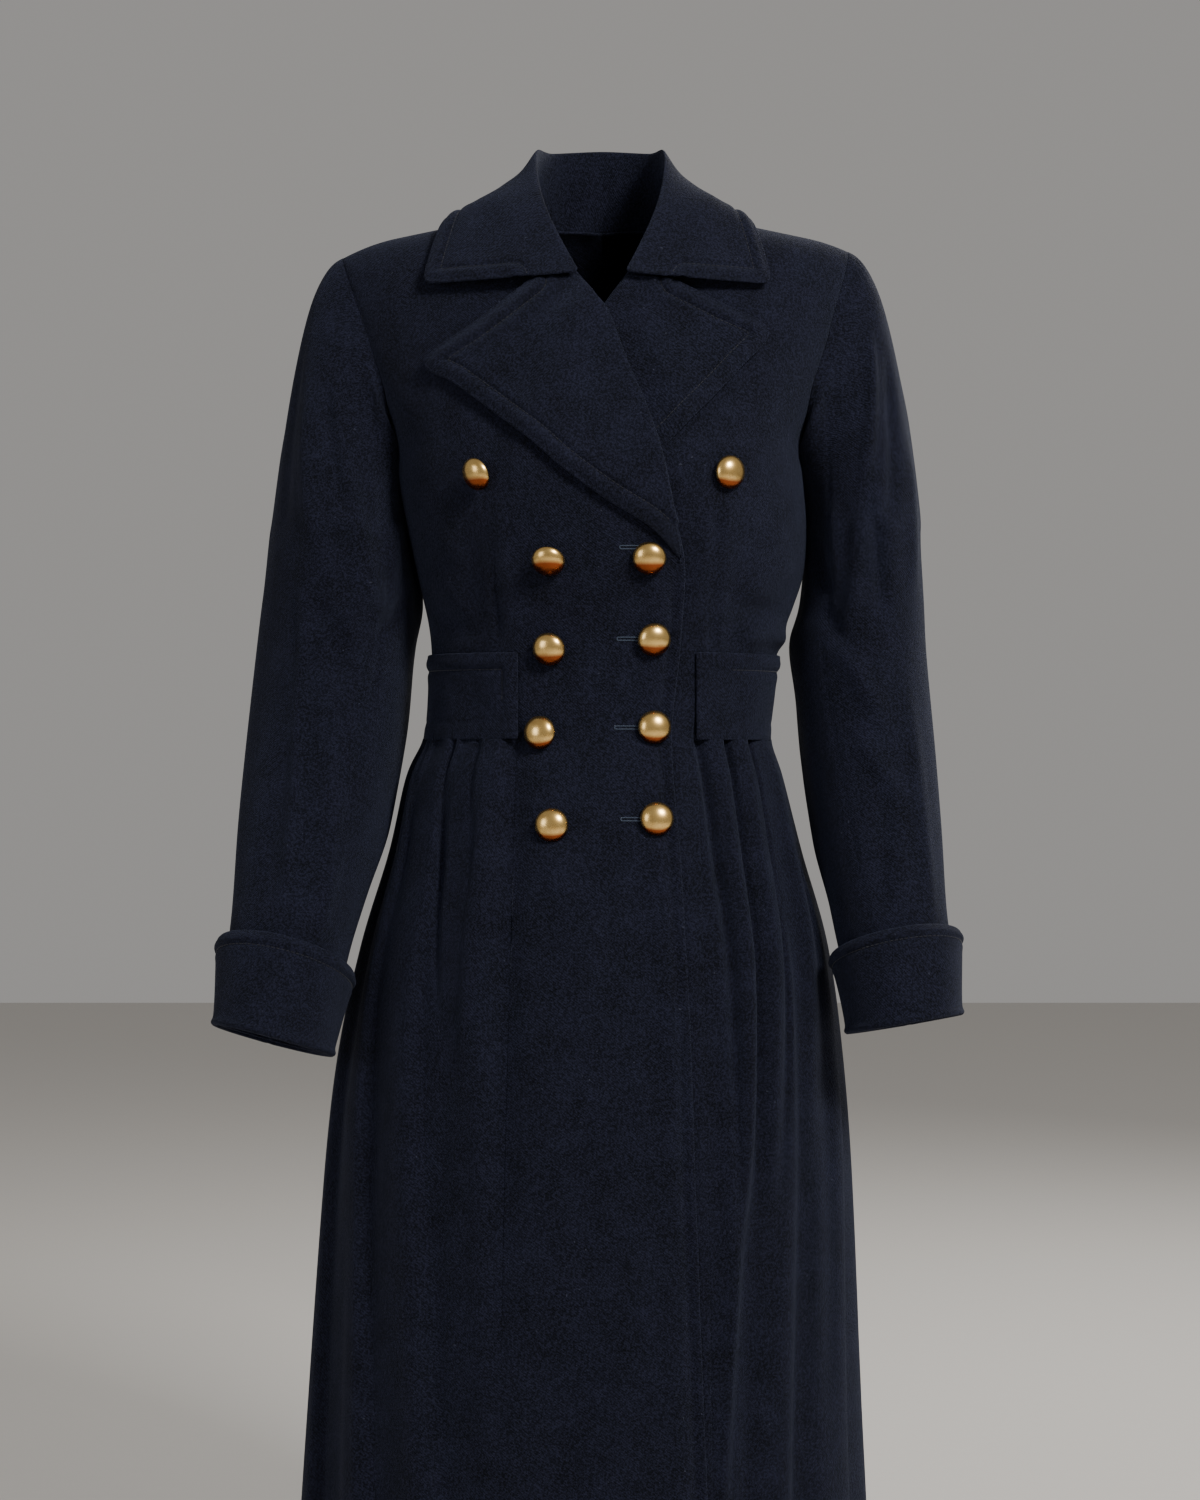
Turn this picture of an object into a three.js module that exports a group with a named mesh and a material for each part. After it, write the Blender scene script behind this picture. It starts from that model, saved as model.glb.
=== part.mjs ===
// A woman's long wool overcoat, double-breasted, as it is worn. Millimetres, +Z up.
// The front faces -Y. The wearer's right is -X, and the wearer's left is +X.
// The origin is the middle of the neck opening, level with the tops of the shoulders at the collar.
import * as THREE from 'three';

// Driving sizes

const CLOTH = 2.5;                // one layer of heavy wool
const GAP = 0.3;                  // between two pieces at a seam, or one on another
const LAYER = CLOTH + GAP;        // what one layer adds under the next
const CUFF_WALL = 4.5;            // a cuff is two layers
const CUFF_LENGTH = 92;
const CUFF_FLARE = 4.5;           // how far the rim of a cuff stands out
const SHOULDER_SLOPE = 0.2;
const NECK_HALF = 65;             // from the middle to where the shoulder seam starts
const RIDGE_SOFTNESS = 30;        // rounds the shoulder slope off at the middle
const SHOULDER_TURN = { from: 178, over: 46, drop: 7 };   // the outer end of the shoulder turns down
const BAND_TOP = -369;
const WAIST_SEAM = -441;
const BAND_STAND = 0.8;           // a band stands a little off what it lies on
const LAPEL_SEAT = 1.5;           // under the roll of a lapel
const LAP_EASE = 0.6;             // room for each layer that the lapped front covers
const ARMHOLE_GAP = 0.5;
const UNDERARM_ROW = 7;           // rows of the body table
const WAIST_ROW = 14;
const UNDERLAP = 58;              // how far the under front passes the middle
const LAP_RISE = { from: -50, to: -16 };           // past the under front's edge, the lap comes up
const LAPEL_LAYER = { low: -335, high: -298 };     // levels over which the lapel's layer begins
const LAPEL_FREE = { from: 9, to: 34 };            // beside the lap's edge, the left lapel comes free
const LAPEL_RISE = { least: 0.35, from: 0.1, to: 0.9, over: 0.6 };
const PLEAT = { start: -1.5, crest: 0.1, turn: 0.2, foot: 0.75 };   // in pleat widths from its crest
const SLEEVE_LENGTH = 700;        // from the armhole seam to the rim of the cuff
const SHOULDER_SEAM = 2.5e-3;     // of a row of the body table, beside the shoulder seam
const SKIRT_SEAM = 1e-2;          // of a row, under the waist seam
const SKIRT_CLEAR = 2.5;          // gaps between a front's strip and the skirt beside it
const SKIRT_OPEN = 0.1;           // the share of a front quarter over which its pleats begin
const BUTTON = { radius: 14, dome: 9, rim: 2.2, facets: 12 };
const SLEEVE_BUTTON = { radius: 7, dome: 4.5, rim: 1.4, facets: 8 };

// The body, from the shoulder seam down to the hem. right and left are half widths, front and back are
// depths from the middle, power is the squareness of the section, drop is how much of the shoulder slope
// the row follows, and arm is where the armhole seam runs, as a share of the half width.
const BODY = [
  { level: 17, right: 238, left: 226, front: 0, back: 0, power: 2.4, drop: 1, arm: 0.942 },
  { level: 13, right: 238, left: 226, front: 33, back: 31, power: 2.4, drop: 1, arm: 0.942 },
  { level: 2, right: 235, left: 224, front: 58, back: 56, power: 2.4, drop: 1, arm: 0.942 },
  { level: -18, right: 230, left: 220, front: 76, back: 77, power: 2.4, drop: 0.95, arm: 0.94 },
  { level: -50, right: 222, left: 213, front: 91, back: 94, power: 2.4, drop: 0.8, arm: 0.935 },
  { level: -90, right: 212, left: 205, front: 104, back: 105, power: 2.4, drop: 0.55, arm: 0.93 },
  { level: -140, right: 197, left: 189, front: 119, back: 110, power: 2.4, drop: 0.25, arm: 0.94 },
  { level: -187, right: 179, left: 172, front: 131, back: 108, power: 2.35, drop: 0, arm: 1 },
  { level: -215, right: 177, left: 174, front: 135, back: 105, power: 2.3, drop: 0, arm: 1 },
  { level: -258, right: 169, left: 177, front: 130, back: 100, power: 2.3, drop: 0, arm: 1 },
  { level: -300, right: 160, left: 174, front: 121, back: 94, power: 2.3, drop: 0, arm: 1 },
  { level: -340, right: 151, left: 160, front: 112, back: 89, power: 2.25, drop: 0, arm: 1 },
  { level: -369, right: 148, left: 151, front: 108, back: 86, power: 2.25, drop: 0, arm: 1 },
  { level: -405, right: 148, left: 146, front: 107, back: 86, power: 2.25, drop: 0, arm: 1 },
  { level: WAIST_SEAM, right: 152, left: 143, front: 112, back: 92, power: 2.25, drop: 0, arm: 1 },
  { level: -475, right: 167, left: 153, front: 122, back: 108, power: 2.25, drop: 0, arm: 1 },
  { level: -540, right: 181, left: 169, front: 136, back: 128, power: 2.25, drop: 0, arm: 1 },
  { level: -620, right: 204, left: 190, front: 150, back: 148, power: 2.25, drop: 0, arm: 1 },
  { level: -720, right: 224, left: 202, front: 164, back: 166, power: 2.2, drop: 0, arm: 1 },
  { level: -850, right: 238, left: 210, front: 176, back: 182, power: 2.2, drop: 0, arm: 1 },
  { level: -1030, right: 252, left: 216, front: 190, back: 198, power: 2.2, drop: 0, arm: 1 },
  { level: -1221, right: 265, left: 224, front: 205, back: 214, power: 2.2, drop: 0, arm: 1 },
];
const HEM_ROW = BODY.length - 1;

// The free edge of a front: the neckline, the roll of the lapel and the straight edge. reach is measured
// from the middle towards the front's own side, so it is negative past the middle.
const FRONT_EDGE = [
  { level: 17, reach: 65 },
  { level: -20, reach: 44 },
  { level: -52, reach: 23 },
  { level: -88, reach: -2 },
  { level: -134, reach: -19 },
  { level: -184, reach: -40 },
  { level: -243, reach: -54 },
  { level: -293, reach: -70 },
  { level: -367, reach: -63 },
  { level: -442, reach: -56 },
  { level: -543, reach: -63 },
  { level: -674, reach: -70 },
  { level: -859, reach: -76 },
  { level: -1221, reach: -88 },
];
const BACK_NECKLINE = [
  { level: 17, reach: 65 },
  { level: 13, reach: 57 },
  { level: 6, reach: 36 },
  { level: 2, reach: 0 },
];

// Soft pleats and folds of the skirt. An angle is 0 at the middle of the front and grows towards the
// wearer's left. Each one stands proud by top at the waist, by middle at the knee's height over and by
// hem at the bottom, and its sharp side faces the wearer's left at the front and goes on one way round.
const FOLDS = [
  { from: -27, to: -13, wide: 9, wideHem: 6, top: 5, middle: 9, hem: 10 },
  { from: -39, to: -24, wide: 7, wideHem: 5, top: 3, middle: 1, hem: 1 },
  { from: -53, to: -31, wide: 8, wideHem: 7, top: 5, middle: 11, hem: 13 },
  { from: -71, to: -49, wide: 9, wideHem: 8, top: 4, middle: 10, hem: 14 },
  { from: -88, to: -70, wide: 9, wideHem: 9, top: 4, middle: 8, hem: 12 },
  { from: 40, to: 21, wide: 6, wideHem: 5, top: 5, middle: 8, hem: 9 },
  { from: 53, to: 38, wide: 7, wideHem: 6, top: 5, middle: 4, hem: 5 },
  { from: 73, to: 58, wide: 9, wideHem: 12, top: 4, middle: 11, hem: 15 },
  { from: 88, to: 80, wide: 8, wideHem: 8, top: 4, middle: 8, hem: 11 },
  { from: 106, to: 104, wide: 8, wideHem: 8, top: 4, middle: 9, hem: 13 },
  { from: 124, to: 121, wide: 8, wideHem: 7, top: 5, middle: 10, hem: 12 },
  { from: 141, to: 140, wide: 8, wideHem: 8, top: 5, middle: 8, hem: 14 },
  { from: 159, to: 160, wide: 8, wideHem: 7, top: 5, middle: 10, hem: 11 },
  { from: 199, to: 200, wide: 8, wideHem: 8, top: 5, middle: 9, hem: 13 },
  { from: 217, to: 219, wide: 8, wideHem: 7, top: 5, middle: 10, hem: 12 },
  { from: 235, to: 238, wide: 8, wideHem: 8, top: 5, middle: 8, hem: 14 },
  { from: 253, to: 257, wide: 8, wideHem: 8, top: 4, middle: 9, hem: 12 },
];

// A sleeve below the armhole: the middle of each ring, its half width and half depth, and how far the
// ring is turned up at the front (tilt) and at the outer side (lean), in degrees.
const SLEEVES = {
  right: {
    rings: [
      { z: -258, out: 229.5, y: 10, half: 57.5, deep: 80, tilt: 0, lean: 0 },
      { z: -319, out: 228.5, y: 12, half: 67.5, deep: 77, tilt: 2, lean: 2 },
      { z: -372, out: 233.5, y: 10, half: 68.5, deep: 74, tilt: 7, lean: 4 },
      { z: -459, out: 243.5, y: -12, half: 65.5, deep: 68, tilt: 15, lean: 7 },
      { z: -528, out: 251.5, y: -42, half: 61, deep: 61, tilt: 21, lean: 10 },
      { z: -598, out: 262, y: -74, half: 52, deep: 55, tilt: 24, lean: 13 },
      { z: -645, out: 268, y: -98, half: 49, deep: 52, tilt: 19, lean: 14 },
      { z: -690, out: 273, y: -122, half: 47, deep: 50, tilt: 9, lean: 15 },
    ],
  },
  left: {
    rings: [
      { z: -258, out: 229, y: 12, half: 47.5, deep: 80, tilt: 0, lean: 0 },
      { z: -319, out: 229, y: 14, half: 51.5, deep: 77, tilt: 2, lean: 1 },
      { z: -372, out: 225, y: 12, half: 58, deep: 74, tilt: 6, lean: 2 },
      { z: -459, out: 232, y: -10, half: 56.5, deep: 68, tilt: 12, lean: 5 },
      { z: -528, out: 238, y: -38, half: 53, deep: 61, tilt: 16, lean: 7 },
      { z: -592, out: 244, y: -66, half: 48, deep: 55, tilt: 19, lean: 9 },
      { z: -632, out: 249, y: -86, half: 46, deep: 52, tilt: 14, lean: 10 },
      { z: -678, out: 252, y: -105, half: 44.5, deep: 50, tilt: 6, lean: 10 },
    ],
  },
};
const CAP_PULL = { top: 126, over: 50, low: 16, down: 60, end: 95 };   // how its head leaves the armhole
const CAP_SHARE = 0.36;                                      // of the rows of a sleeve
const RING_STEP = 0.05;                                      // to read the way the first ring runs

// A lapel, a row for each line from its roll to its outer edge, from the break up to the collar.
// Reach and level as in the edge of a front.
const LAPELS = {
  right: [
    { roll: -70, rollLevel: -293, edge: -67, edgeLevel: -289 },
    { roll: -60, rollLevel: -268, edge: -40, edgeLevel: -264 },
    { roll: -53, rollLevel: -240, edge: -2, edgeLevel: -240 },
    { roll: -45, rollLevel: -205, edge: 38, edgeLevel: -211 },
    { roll: -33, rollLevel: -168, edge: 79, edgeLevel: -177 },
    { roll: -19, rollLevel: -134, edge: 118, edgeLevel: -146 },
    { roll: -2, rollLevel: -88, edge: 144, edgeLevel: -125 },
    { roll: 11, rollLevel: -70, edge: 102, edgeLevel: -93 },
    { roll: 23, rollLevel: -54, edge: 60, edgeLevel: -60 },
  ],
  left: [
    { roll: -57, rollLevel: -293, edge: -54, edgeLevel: -289 },
    { roll: -55, rollLevel: -268, edge: -38, edgeLevel: -262 },
    { roll: -53, rollLevel: -240, edge: -4, edgeLevel: -236 },
    { roll: -45, rollLevel: -205, edge: 40, edgeLevel: -207 },
    { roll: -33, rollLevel: -168, edge: 75, edgeLevel: -172 },
    { roll: -19, rollLevel: -134, edge: 112, edgeLevel: -132 },
    { roll: -2, rollLevel: -88, edge: 136, edgeLevel: -99 },
    { roll: 11, rollLevel: -70, edge: 98, edgeLevel: -78 },
    { roll: 23, rollLevel: -54, edge: 62, edgeLevel: -60 },
  ],
};
const LAPEL_LIFT = { right: 5, left: 3.5 };   // how far the point of a lapel stands off the chest

// The collar, from a front end round to the middle of the back: the fold at its top, the middle of its
// fall and its outer edge, each as out from the middle, y and z. neckRow is the body's row at its seam.
const COLLAR = [
  { neckRow: 3.9, fold: [25, -106, -49], fall: [86, -103, -54], edge: [152, -84, -56] },
  { neckRow: 2.6, fold: [50, -72, 14], fall: [95, -58, 17], edge: [137, -50, 0] },
  { neckRow: 0, fold: [56, -8, 69], fall: [81, -3, 39], edge: [123, -2, 10] },
  { neckRow: -1.5, fold: [42, 40, 78], fall: [64, 56, 42], edge: [92, 58, 8] },
  { neckRow: -2, fold: [0, 60, 84], fall: [0, 80, 41], edge: [0, 92, 0] },
];
const COLLAR_SHARE = { right: 1, left: 0.94 };   // the left end reaches a little less far out

// Buttons of the front: across from the middle (wearer's left is positive) and height.
const BUTTONS = [
  { name: 'button_outer_right', x: -101, z: -220 },
  { name: 'button_outer_left', x: 104, z: -219 },
  { name: 'button_right_1', x: -43, z: -290 },
  { name: 'button_right_2', x: -43, z: -365 },
  { name: 'button_right_3', x: -50, z: -437 },
  { name: 'button_right_4', x: -41, z: -513 },
  { name: 'button_left_1', x: 38, z: -289 },
  { name: 'button_left_2', x: 42, z: -357 },
  { name: 'button_left_3', x: 42, z: -432 },
  { name: 'button_left_4', x: 44, z: -508 },
];

const WOOL = { color: 0x1b2038, roughness: 0.94, metalness: 0 };
const BRASS = { color: 0xc49a4a, roughness: 0.3, metalness: 1 };

// Small helpers

const radians = (degrees) => (degrees * Math.PI) / 180;

function smooth(from, to, value) {
  const t = Math.min(1, Math.max(0, (value - from) / (to - from)));
  return t * t * (3 - 2 * t);
}

const mix = (a, b, t) => a + (b - a) * t;

// A smooth curve through four neighbouring values, between the middle two.
function spline(before, a, b, after, t) {
  const square = (2 * before - 5 * a + 4 * b - after) * t * t;
  const cubic = (3 * (a - b) + after - before) * t * t * t;
  return 0.5 * (2 * a + (b - before) * t + square + cubic);
}

// Reads one column of a table at a level, where the levels fall from row to row.
function readAtLevel(table, column, level) {
  const last = table.length - 1;
  if (level >= table[0].level) return table[0][column];
  if (level <= table[last].level) return table[last][column];
  const i = table.findIndex((row, n) => n < last && level <= row.level && level > table[n + 1].level);
  const t = (table[i].level - level) / (table[i].level - table[i + 1].level);
  const before = table[Math.max(0, i - 1)][column];
  const after = table[Math.min(last, i + 2)][column];
  return spline(before, table[i][column], table[i + 1][column], after, t);
}

// Reads every column of a table at a place between its rows.
function readRow(table, place) {
  const last = table.length - 1;
  const i = Math.min(last - 1, Math.floor(place));
  const row = {};
  for (const column of Object.keys(table[0])) {
    if (typeof table[0][column] !== 'number') continue;
    const before = table[Math.max(0, i - 1)][column];
    const after = table[Math.min(last, i + 2)][column];
    row[column] = spline(before, table[i][column], table[i + 1][column], after, place - i);
  }
  return row;
}

// The body's surface

// The body table read at a place between its rows. Above the shoulder seam the front goes on as the back.
function bodyRow(place) {
  const i = Math.min(HEM_ROW - 1, Math.floor(place));
  const next = BODY[1];
  const mirrored = { ...next, front: -next.back, back: -next.front };
  const before = i > 0 ? BODY[i - 1] : mirrored;
  const after = BODY[Math.min(HEM_ROW, i + 2)];
  const row = {};
  for (const column of Object.keys(next)) {
    row[column] = spline(before[column], BODY[i][column], BODY[i + 1][column], after[column], place - i);
  }
  return row;
}

// How far the shoulder has fallen at a distance x from the middle: an even slope, then a rounder turn.
function shoulderFall(x) {
  const run = Math.hypot(x, RIDGE_SOFTNESS) - NECK_HALF;
  const past = Math.max(0, Math.abs(x) - SHOULDER_TURN.from) / SHOULDER_TURN.over;
  return SHOULDER_SLOPE * run + SHOULDER_TURN.drop * past * past;
}

// A point of the body's surface at an angle (0 at the front, growing to the wearer's left).
function bodyPoint(angle, place) {
  if (place < 0) return bodyPoint(Math.PI - angle, -place);
  const row = bodyRow(place);
  const across = Math.sin(angle);
  const ahead = Math.cos(angle);
  const half = across < 0 ? row.right : row.left;
  const depth = ahead > 0 ? row.front : row.back;
  const x = Math.sign(across) * half * Math.abs(across) ** (2 / row.power);
  const y = -Math.sign(ahead) * depth * Math.abs(ahead) ** (2 / row.power);
  return new THREE.Vector3(x, y, row.level - row.drop * shoulderFall(x));
}

function bodyNormal(angle, place) {
  const step = 1e-3;
  const low = Math.min(HEM_ROW, place + step);
  const around = bodyPoint(angle + step, place).sub(bodyPoint(angle - step, place));
  const down = bodyPoint(angle, low).sub(bodyPoint(angle, low - 2 * step));
  return down.cross(around).normalize();
}

// The body's surface moved out by an offset.
function onBody(angle, place, offset) {
  return bodyPoint(angle, place).addScaledVector(bodyNormal(angle, place), offset);
}

// The angle at which the surface of a row lies at a distance x from the middle, on the front.
function angleAt(x, place) {
  const row = bodyRow(place);
  const half = x < 0 ? row.right : row.left;
  const share = Math.min(1, Math.abs(x) / half);
  return Math.sign(x) * Math.asin(share ** (row.power / 2));
}

// The row of the body whose front surface has the height z at the distance x.
function placeAt(x, z) {
  let high = 0;
  let low = HEM_ROW;
  for (let i = 0; i < 40; i += 1) {
    const middle = (high + low) / 2;
    const row = bodyRow(middle);
    if (row.level - row.drop * shoulderFall(x) > z) high = middle;
    else low = middle;
  }
  return (high + low) / 2;
}

// How far from the middle the free edge of a front is, towards its own side.
function edgeReach(sign, level) {
  const reach = readAtLevel(FRONT_EDGE, 'reach', level);
  return sign > 0 ? Math.max(reach, -UNDERLAP) : reach;
}

// How far a front stands off the body. The right front laps over the left one and, on the chest, over the
// left lapel too, and it comes down to the body beside the left one's edge.
function frontOffset(sign, x, level) {
  if (sign > 0) return 0;
  const past = x - edgeReach(1, level);
  const layers = 1 + smooth(LAPEL_LAYER.low, LAPEL_LAYER.high, level);
  return layers * (LAYER + LAP_EASE) * smooth(LAP_RISE.from, LAP_RISE.to, past);
}

// The skirt's pleats, as a height over the body's surface.
function foldHeight(angle, level) {
  const degrees = ((angle * 180) / Math.PI + 450) % 360 - 90;
  const fall = (WAIST_SEAM - level) / (WAIST_SEAM - BODY[HEM_ROW].level);
  let height = 0;
  for (const fold of FOLDS) {
    const turn = mix(fold.from, fold.to, smooth(-0.1, 1, fall));
    const wide = mix(fold.wide, fold.wideHem, fall);
    const upper = mix(fold.top, fold.middle, smooth(0, 0.5, fall));
    const size = mix(upper, fold.hem, smooth(0.5, 1, fall));
    const t = (degrees - turn) / wide;
    height += size * smooth(PLEAT.start, PLEAT.crest, t) * (1 - smooth(PLEAT.turn, PLEAT.foot, t));
  }
  return height;
}

// Making solids

// A closed wall over a grid. place(u, v, depth) gives a point, depth 0 on the outer face and 1 on the
// inner one; keep says which cells of the grid are cloth; a closed grid joins its last column to its
// first.
function wall(name, { columns, rows, place, keep = () => true, closed = false, finish = WOOL }) {
  const across = closed ? columns : columns + 1;
  const layer = across * (rows + 1);
  const positions = [];
  for (const depth of [0, 1]) {
    for (let j = 0; j <= rows; j += 1) {
      for (let i = 0; i < across; i += 1) {
        const point = place(i / columns, j / rows, depth);
        positions.push(point.x, point.y, point.z);
      }
    }
  }
  const at = (i, j, depth) => depth * layer + j * across + (closed ? (i + columns) % columns : i);
  const isCloth = (i, j) => {
    if (j < 0 || j >= rows) return false;
    if (!closed && (i < 0 || i >= columns)) return false;
    return keep((i + columns) % columns, j);
  };
  const triangles = [];
  const quad = (a, b, c, d) => triangles.push(a, b, c, a, c, d);
  for (let j = 0; j < rows; j += 1) {
    for (let i = 0; i < columns; i += 1) {
      if (!isCloth(i, j)) continue;
      const outer = [at(i, j, 0), at(i + 1, j, 0), at(i + 1, j + 1, 0), at(i, j + 1, 0)];
      const inner = [at(i, j, 1), at(i + 1, j, 1), at(i + 1, j + 1, 1), at(i, j + 1, 1)];
      quad(...outer);
      quad(inner[3], inner[2], inner[1], inner[0]);
      if (!isCloth(i, j - 1)) quad(outer[1], outer[0], inner[0], inner[1]);
      if (!isCloth(i + 1, j)) quad(outer[2], outer[1], inner[1], inner[2]);
      if (!isCloth(i, j + 1)) quad(outer[3], outer[2], inner[2], inner[3]);
      if (!isCloth(i - 1, j)) quad(outer[0], outer[3], inner[3], inner[0]);
    }
  }
  return solid(name, positions, triangles, finish);
}

// A mesh from points and triangles, with its faces turned out and its unused points dropped.
function solid(name, positions, triangles, finish) {
  let volume = 0;
  const corner = (n) => new THREE.Vector3().fromArray(positions, 3 * n);
  for (let i = 0; i < triangles.length; i += 3) {
    const [a, b, c] = [corner(triangles[i]), corner(triangles[i + 1]), corner(triangles[i + 2])];
    volume += a.dot(b.cross(c));
  }
  const turned = volume < 0 ? triangles.toReversed() : triangles;
  const order = new Map();
  const kept = [];
  const index = turned.map((n) => {
    if (!order.has(n)) {
      order.set(n, order.size);
      kept.push(positions[3 * n], positions[3 * n + 1], positions[3 * n + 2]);
    }
    return order.get(n);
  });
  const geometry = new THREE.BufferGeometry();
  geometry.setAttribute('position', new THREE.Float32BufferAttribute(kept, 3));
  geometry.setIndex(index);
  geometry.computeVertexNormals();
  const mesh = new THREE.Mesh(geometry, new THREE.MeshStandardMaterial(finish));
  mesh.name = name;
  return mesh;
}

// The normal of a surface given as a function of u and v, both from 0 to 1.
function surfaceNormal(surface, u, v, wrap) {
  const step = 1e-3;
  const keepIn = (value) => Math.min(1, Math.max(0, value));
  const left = wrap ? u - step : keepIn(u - step);
  const right = wrap ? u + step : keepIn(u + step);
  const across = surface(right, v).sub(surface(left, v));
  const along = surface(u, keepIn(v + step)).sub(surface(u, keepIn(v - step)));
  return across.cross(along).normalize();
}

// Fronts

const SIDES = [{ name: 'right', sign: -1 }, { name: 'left', sign: 1 }];
const FRONT_GRID = { strip: 8, side: 6, rowsAbove: 18, rowsBelow: 9 };

// Where the long strip of a front ends and the skirt beside it starts, from the middle.
const STRIP = {
  right: { waist: 71, hem: 84 },
  left: { waist: 78, hem: 90 },
};

function stripAngle(side, place) {
  const { waist, hem } = STRIP[side.name];
  const fall = Math.max(0, (place - WAIST_ROW) / (HEM_ROW - WAIST_ROW));
  return angleAt(side.sign * mix(waist, hem, fall), place);
}

function edgeAngle(side, place) {
  const { level } = bodyRow(place);
  return angleAt(side.sign * edgeReach(side.sign, level), place);
}

// The seam beside the sleeve, then the side seam.
function outerAngle(side, place) {
  const row = bodyRow(place);
  const share = place >= UNDERARM_ROW ? 1 : Math.min(1, row.arm);
  const gap = GAP / 2 / row.left;
  return side.sign * (Math.asin(share ** (row.power / 2)) - gap);
}

function front(side) {
  const { strip, side: beside, rowsAbove, rowsBelow } = FRONT_GRID;
  const columns = strip + beside;
  const rows = rowsAbove + rowsBelow;
  const rowPlace = (v) => {
    const j = v * rows;
    if (j <= rowsAbove) return mix(SHOULDER_SEAM, WAIST_ROW, j / rowsAbove);
    return mix(WAIST_ROW, HEM_ROW, (j - rowsAbove) / rowsBelow);
  };
  return wall(`front_${side.name}`, {
    columns,
    rows,
    keep: (i, j) => i < strip || j < rowsAbove,
    place: (u, v, depth) => {
      const place = rowPlace(v);
      const i = u * columns;
      const line = stripAngle(side, place);
      const angle = i <= strip
        ? mix(edgeAngle(side, place), line, i / strip)
        : mix(line, outerAngle(side, place), (i - strip) / beside);
      const { x, z } = bodyPoint(angle, place);
      return onBody(angle, place, frontOffset(side.sign, x, z) - depth * CLOTH);
    },
  });
}

// Back of the bodice, one half on each side of the middle seam.
const BACK_GRID = { columns: 8, rows: 16 };

function back(side) {
  return wall(`back_${side.name}`, {
    ...BACK_GRID,
    place: (u, v, depth) => {
      const place = mix(SHOULDER_SEAM, WAIST_ROW, v);
      const row = bodyRow(place);
      const reach = Math.max(GAP / 2, readAtLevel(BACK_NECKLINE, 'reach', row.level));
      const middle = side.sign * (Math.PI - Math.abs(angleAt(side.sign * reach, place)));
      const outer = side.sign * (Math.PI - Math.abs(outerAngle(side, place)));
      return onBody(mix(middle, outer, u), place, -depth * CLOTH);
    },
  });
}

// The skirt beside the fronts and at the back, in four quarters that meet at the side seams and the
// middle of the back. It hangs from the waist seam in pleats.
const SKIRT_GRID = { rows: 10, front: 20, back: 22 };

function skirt(name, columns, from, to, open) {
  return wall(name, {
    columns,
    rows: SKIRT_GRID.rows,
    place: (u, v, depth) => {
      const place = mix(WAIST_ROW + SKIRT_SEAM, HEM_ROW, v);
      const angle = mix(from(place), to(place), u);
      const { z } = bodyPoint(angle, place);
      return onBody(angle, place, foldHeight(angle, z) * open(u) - depth * CLOTH);
    },
  });
}

function skirtQuarters() {
  const half = (place) => GAP / 2 / bodyRow(place).left;
  const beside = (u) => smooth(0, SKIRT_OPEN, u);
  const quarters = [];
  for (const side of SIDES) {
    const line = (place) => stripAngle(side, place) + side.sign * SKIRT_CLEAR * half(place);
    const sideSeam = (place) => side.sign * (Math.PI / 2 - half(place));
    quarters.push(skirt(`skirt_front_${side.name}`, SKIRT_GRID.front, line, sideSeam, beside));
    const behind = (place) => side.sign * (Math.PI / 2 + half(place));
    const middle = (place) => side.sign * (Math.PI - half(place));
    quarters.push(skirt(`skirt_back_${side.name}`, SKIRT_GRID.back, behind, middle, () => 1));
  }
  return quarters;
}

// The waistband: one piece, from beside the buttons on the right round the back to the left.
const BAND_GRID = { columns: 40, rows: 3 };
const BAND_START = { right: 70, left: 79 };

function band() {
  const top = placeAt(0, BAND_TOP);
  return wall('waistband', {
    ...BAND_GRID,
    place: (u, v, depth) => {
      const place = mix(top, WAIST_ROW - SKIRT_SEAM, v);
      const start = angleAt(-BAND_START.right, place);
      const end = angleAt(BAND_START.left, place) - 2 * Math.PI;
      const angle = mix(start, end, u);
      const { x, z } = bodyPoint(angle, place);
      const onLap = x < 0 && Math.cos(angle) > 0;
      const under = onLap ? frontOffset(-1, x, z) : 0;
      return onBody(angle, place, under + GAP + BAND_STAND + (1 - depth) * CLOTH);
    },
  });
}

// Lapels

const LAPEL_GRID = { columns: 6, rows: 16 };

function lapel(side) {
  const table = LAPELS[side.name];
  const lift = LAPEL_LIFT[side.name];
  return wall(`lapel_${side.name}`, {
    ...LAPEL_GRID,
    place: (u, v, depth) => {
      const row = readRow(table, v * (table.length - 1));
      const x = side.sign * mix(row.roll, row.edge, u);
      const z = mix(row.rollLevel, row.edgeLevel, u);
      const place = placeAt(x, z);
      const free = side.sign < 0 ? 1 : smooth(LAPEL_FREE.from, LAPEL_FREE.to, x + edgeReach(-1, z));
      const upward = mix(LAPEL_RISE.least, 1, smooth(LAPEL_RISE.from, LAPEL_RISE.to, v));
      const rise = lift * free * upward * smooth(0, LAPEL_RISE.over, u);
      const under = frontOffset(side.sign, x, z) + GAP + LAPEL_SEAT * free;
      return onBody(angleAt(x, place), place, under + rise + (1 - depth) * CLOTH);
    },
  });
}

// Collar

const COLLAR_GRID = { columns: 26, rows: 9 };

// A point of the neck seam, on the edge of the front or of the back, just clear of it.
function neckSeam(sign, place) {
  const i = Math.min(COLLAR.length - 2, Math.floor(place));
  const row = mix(COLLAR[i].neckRow, COLLAR[i + 1].neckRow, place - i);
  const { level } = bodyRow(Math.abs(row));
  const reach = row > 0 ? edgeReach(1, level) : readAtLevel(BACK_NECKLINE, 'reach', level);
  const angle = angleAt(sign * Math.max(0, reach), Math.abs(row));
  const clear = mix(2 * GAP, LAYER + GAP, smooth(1.5, COLLAR[0].neckRow, row));
  return onBody(row > 0 ? angle : Math.PI - angle, Math.abs(row), clear);
}

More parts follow.
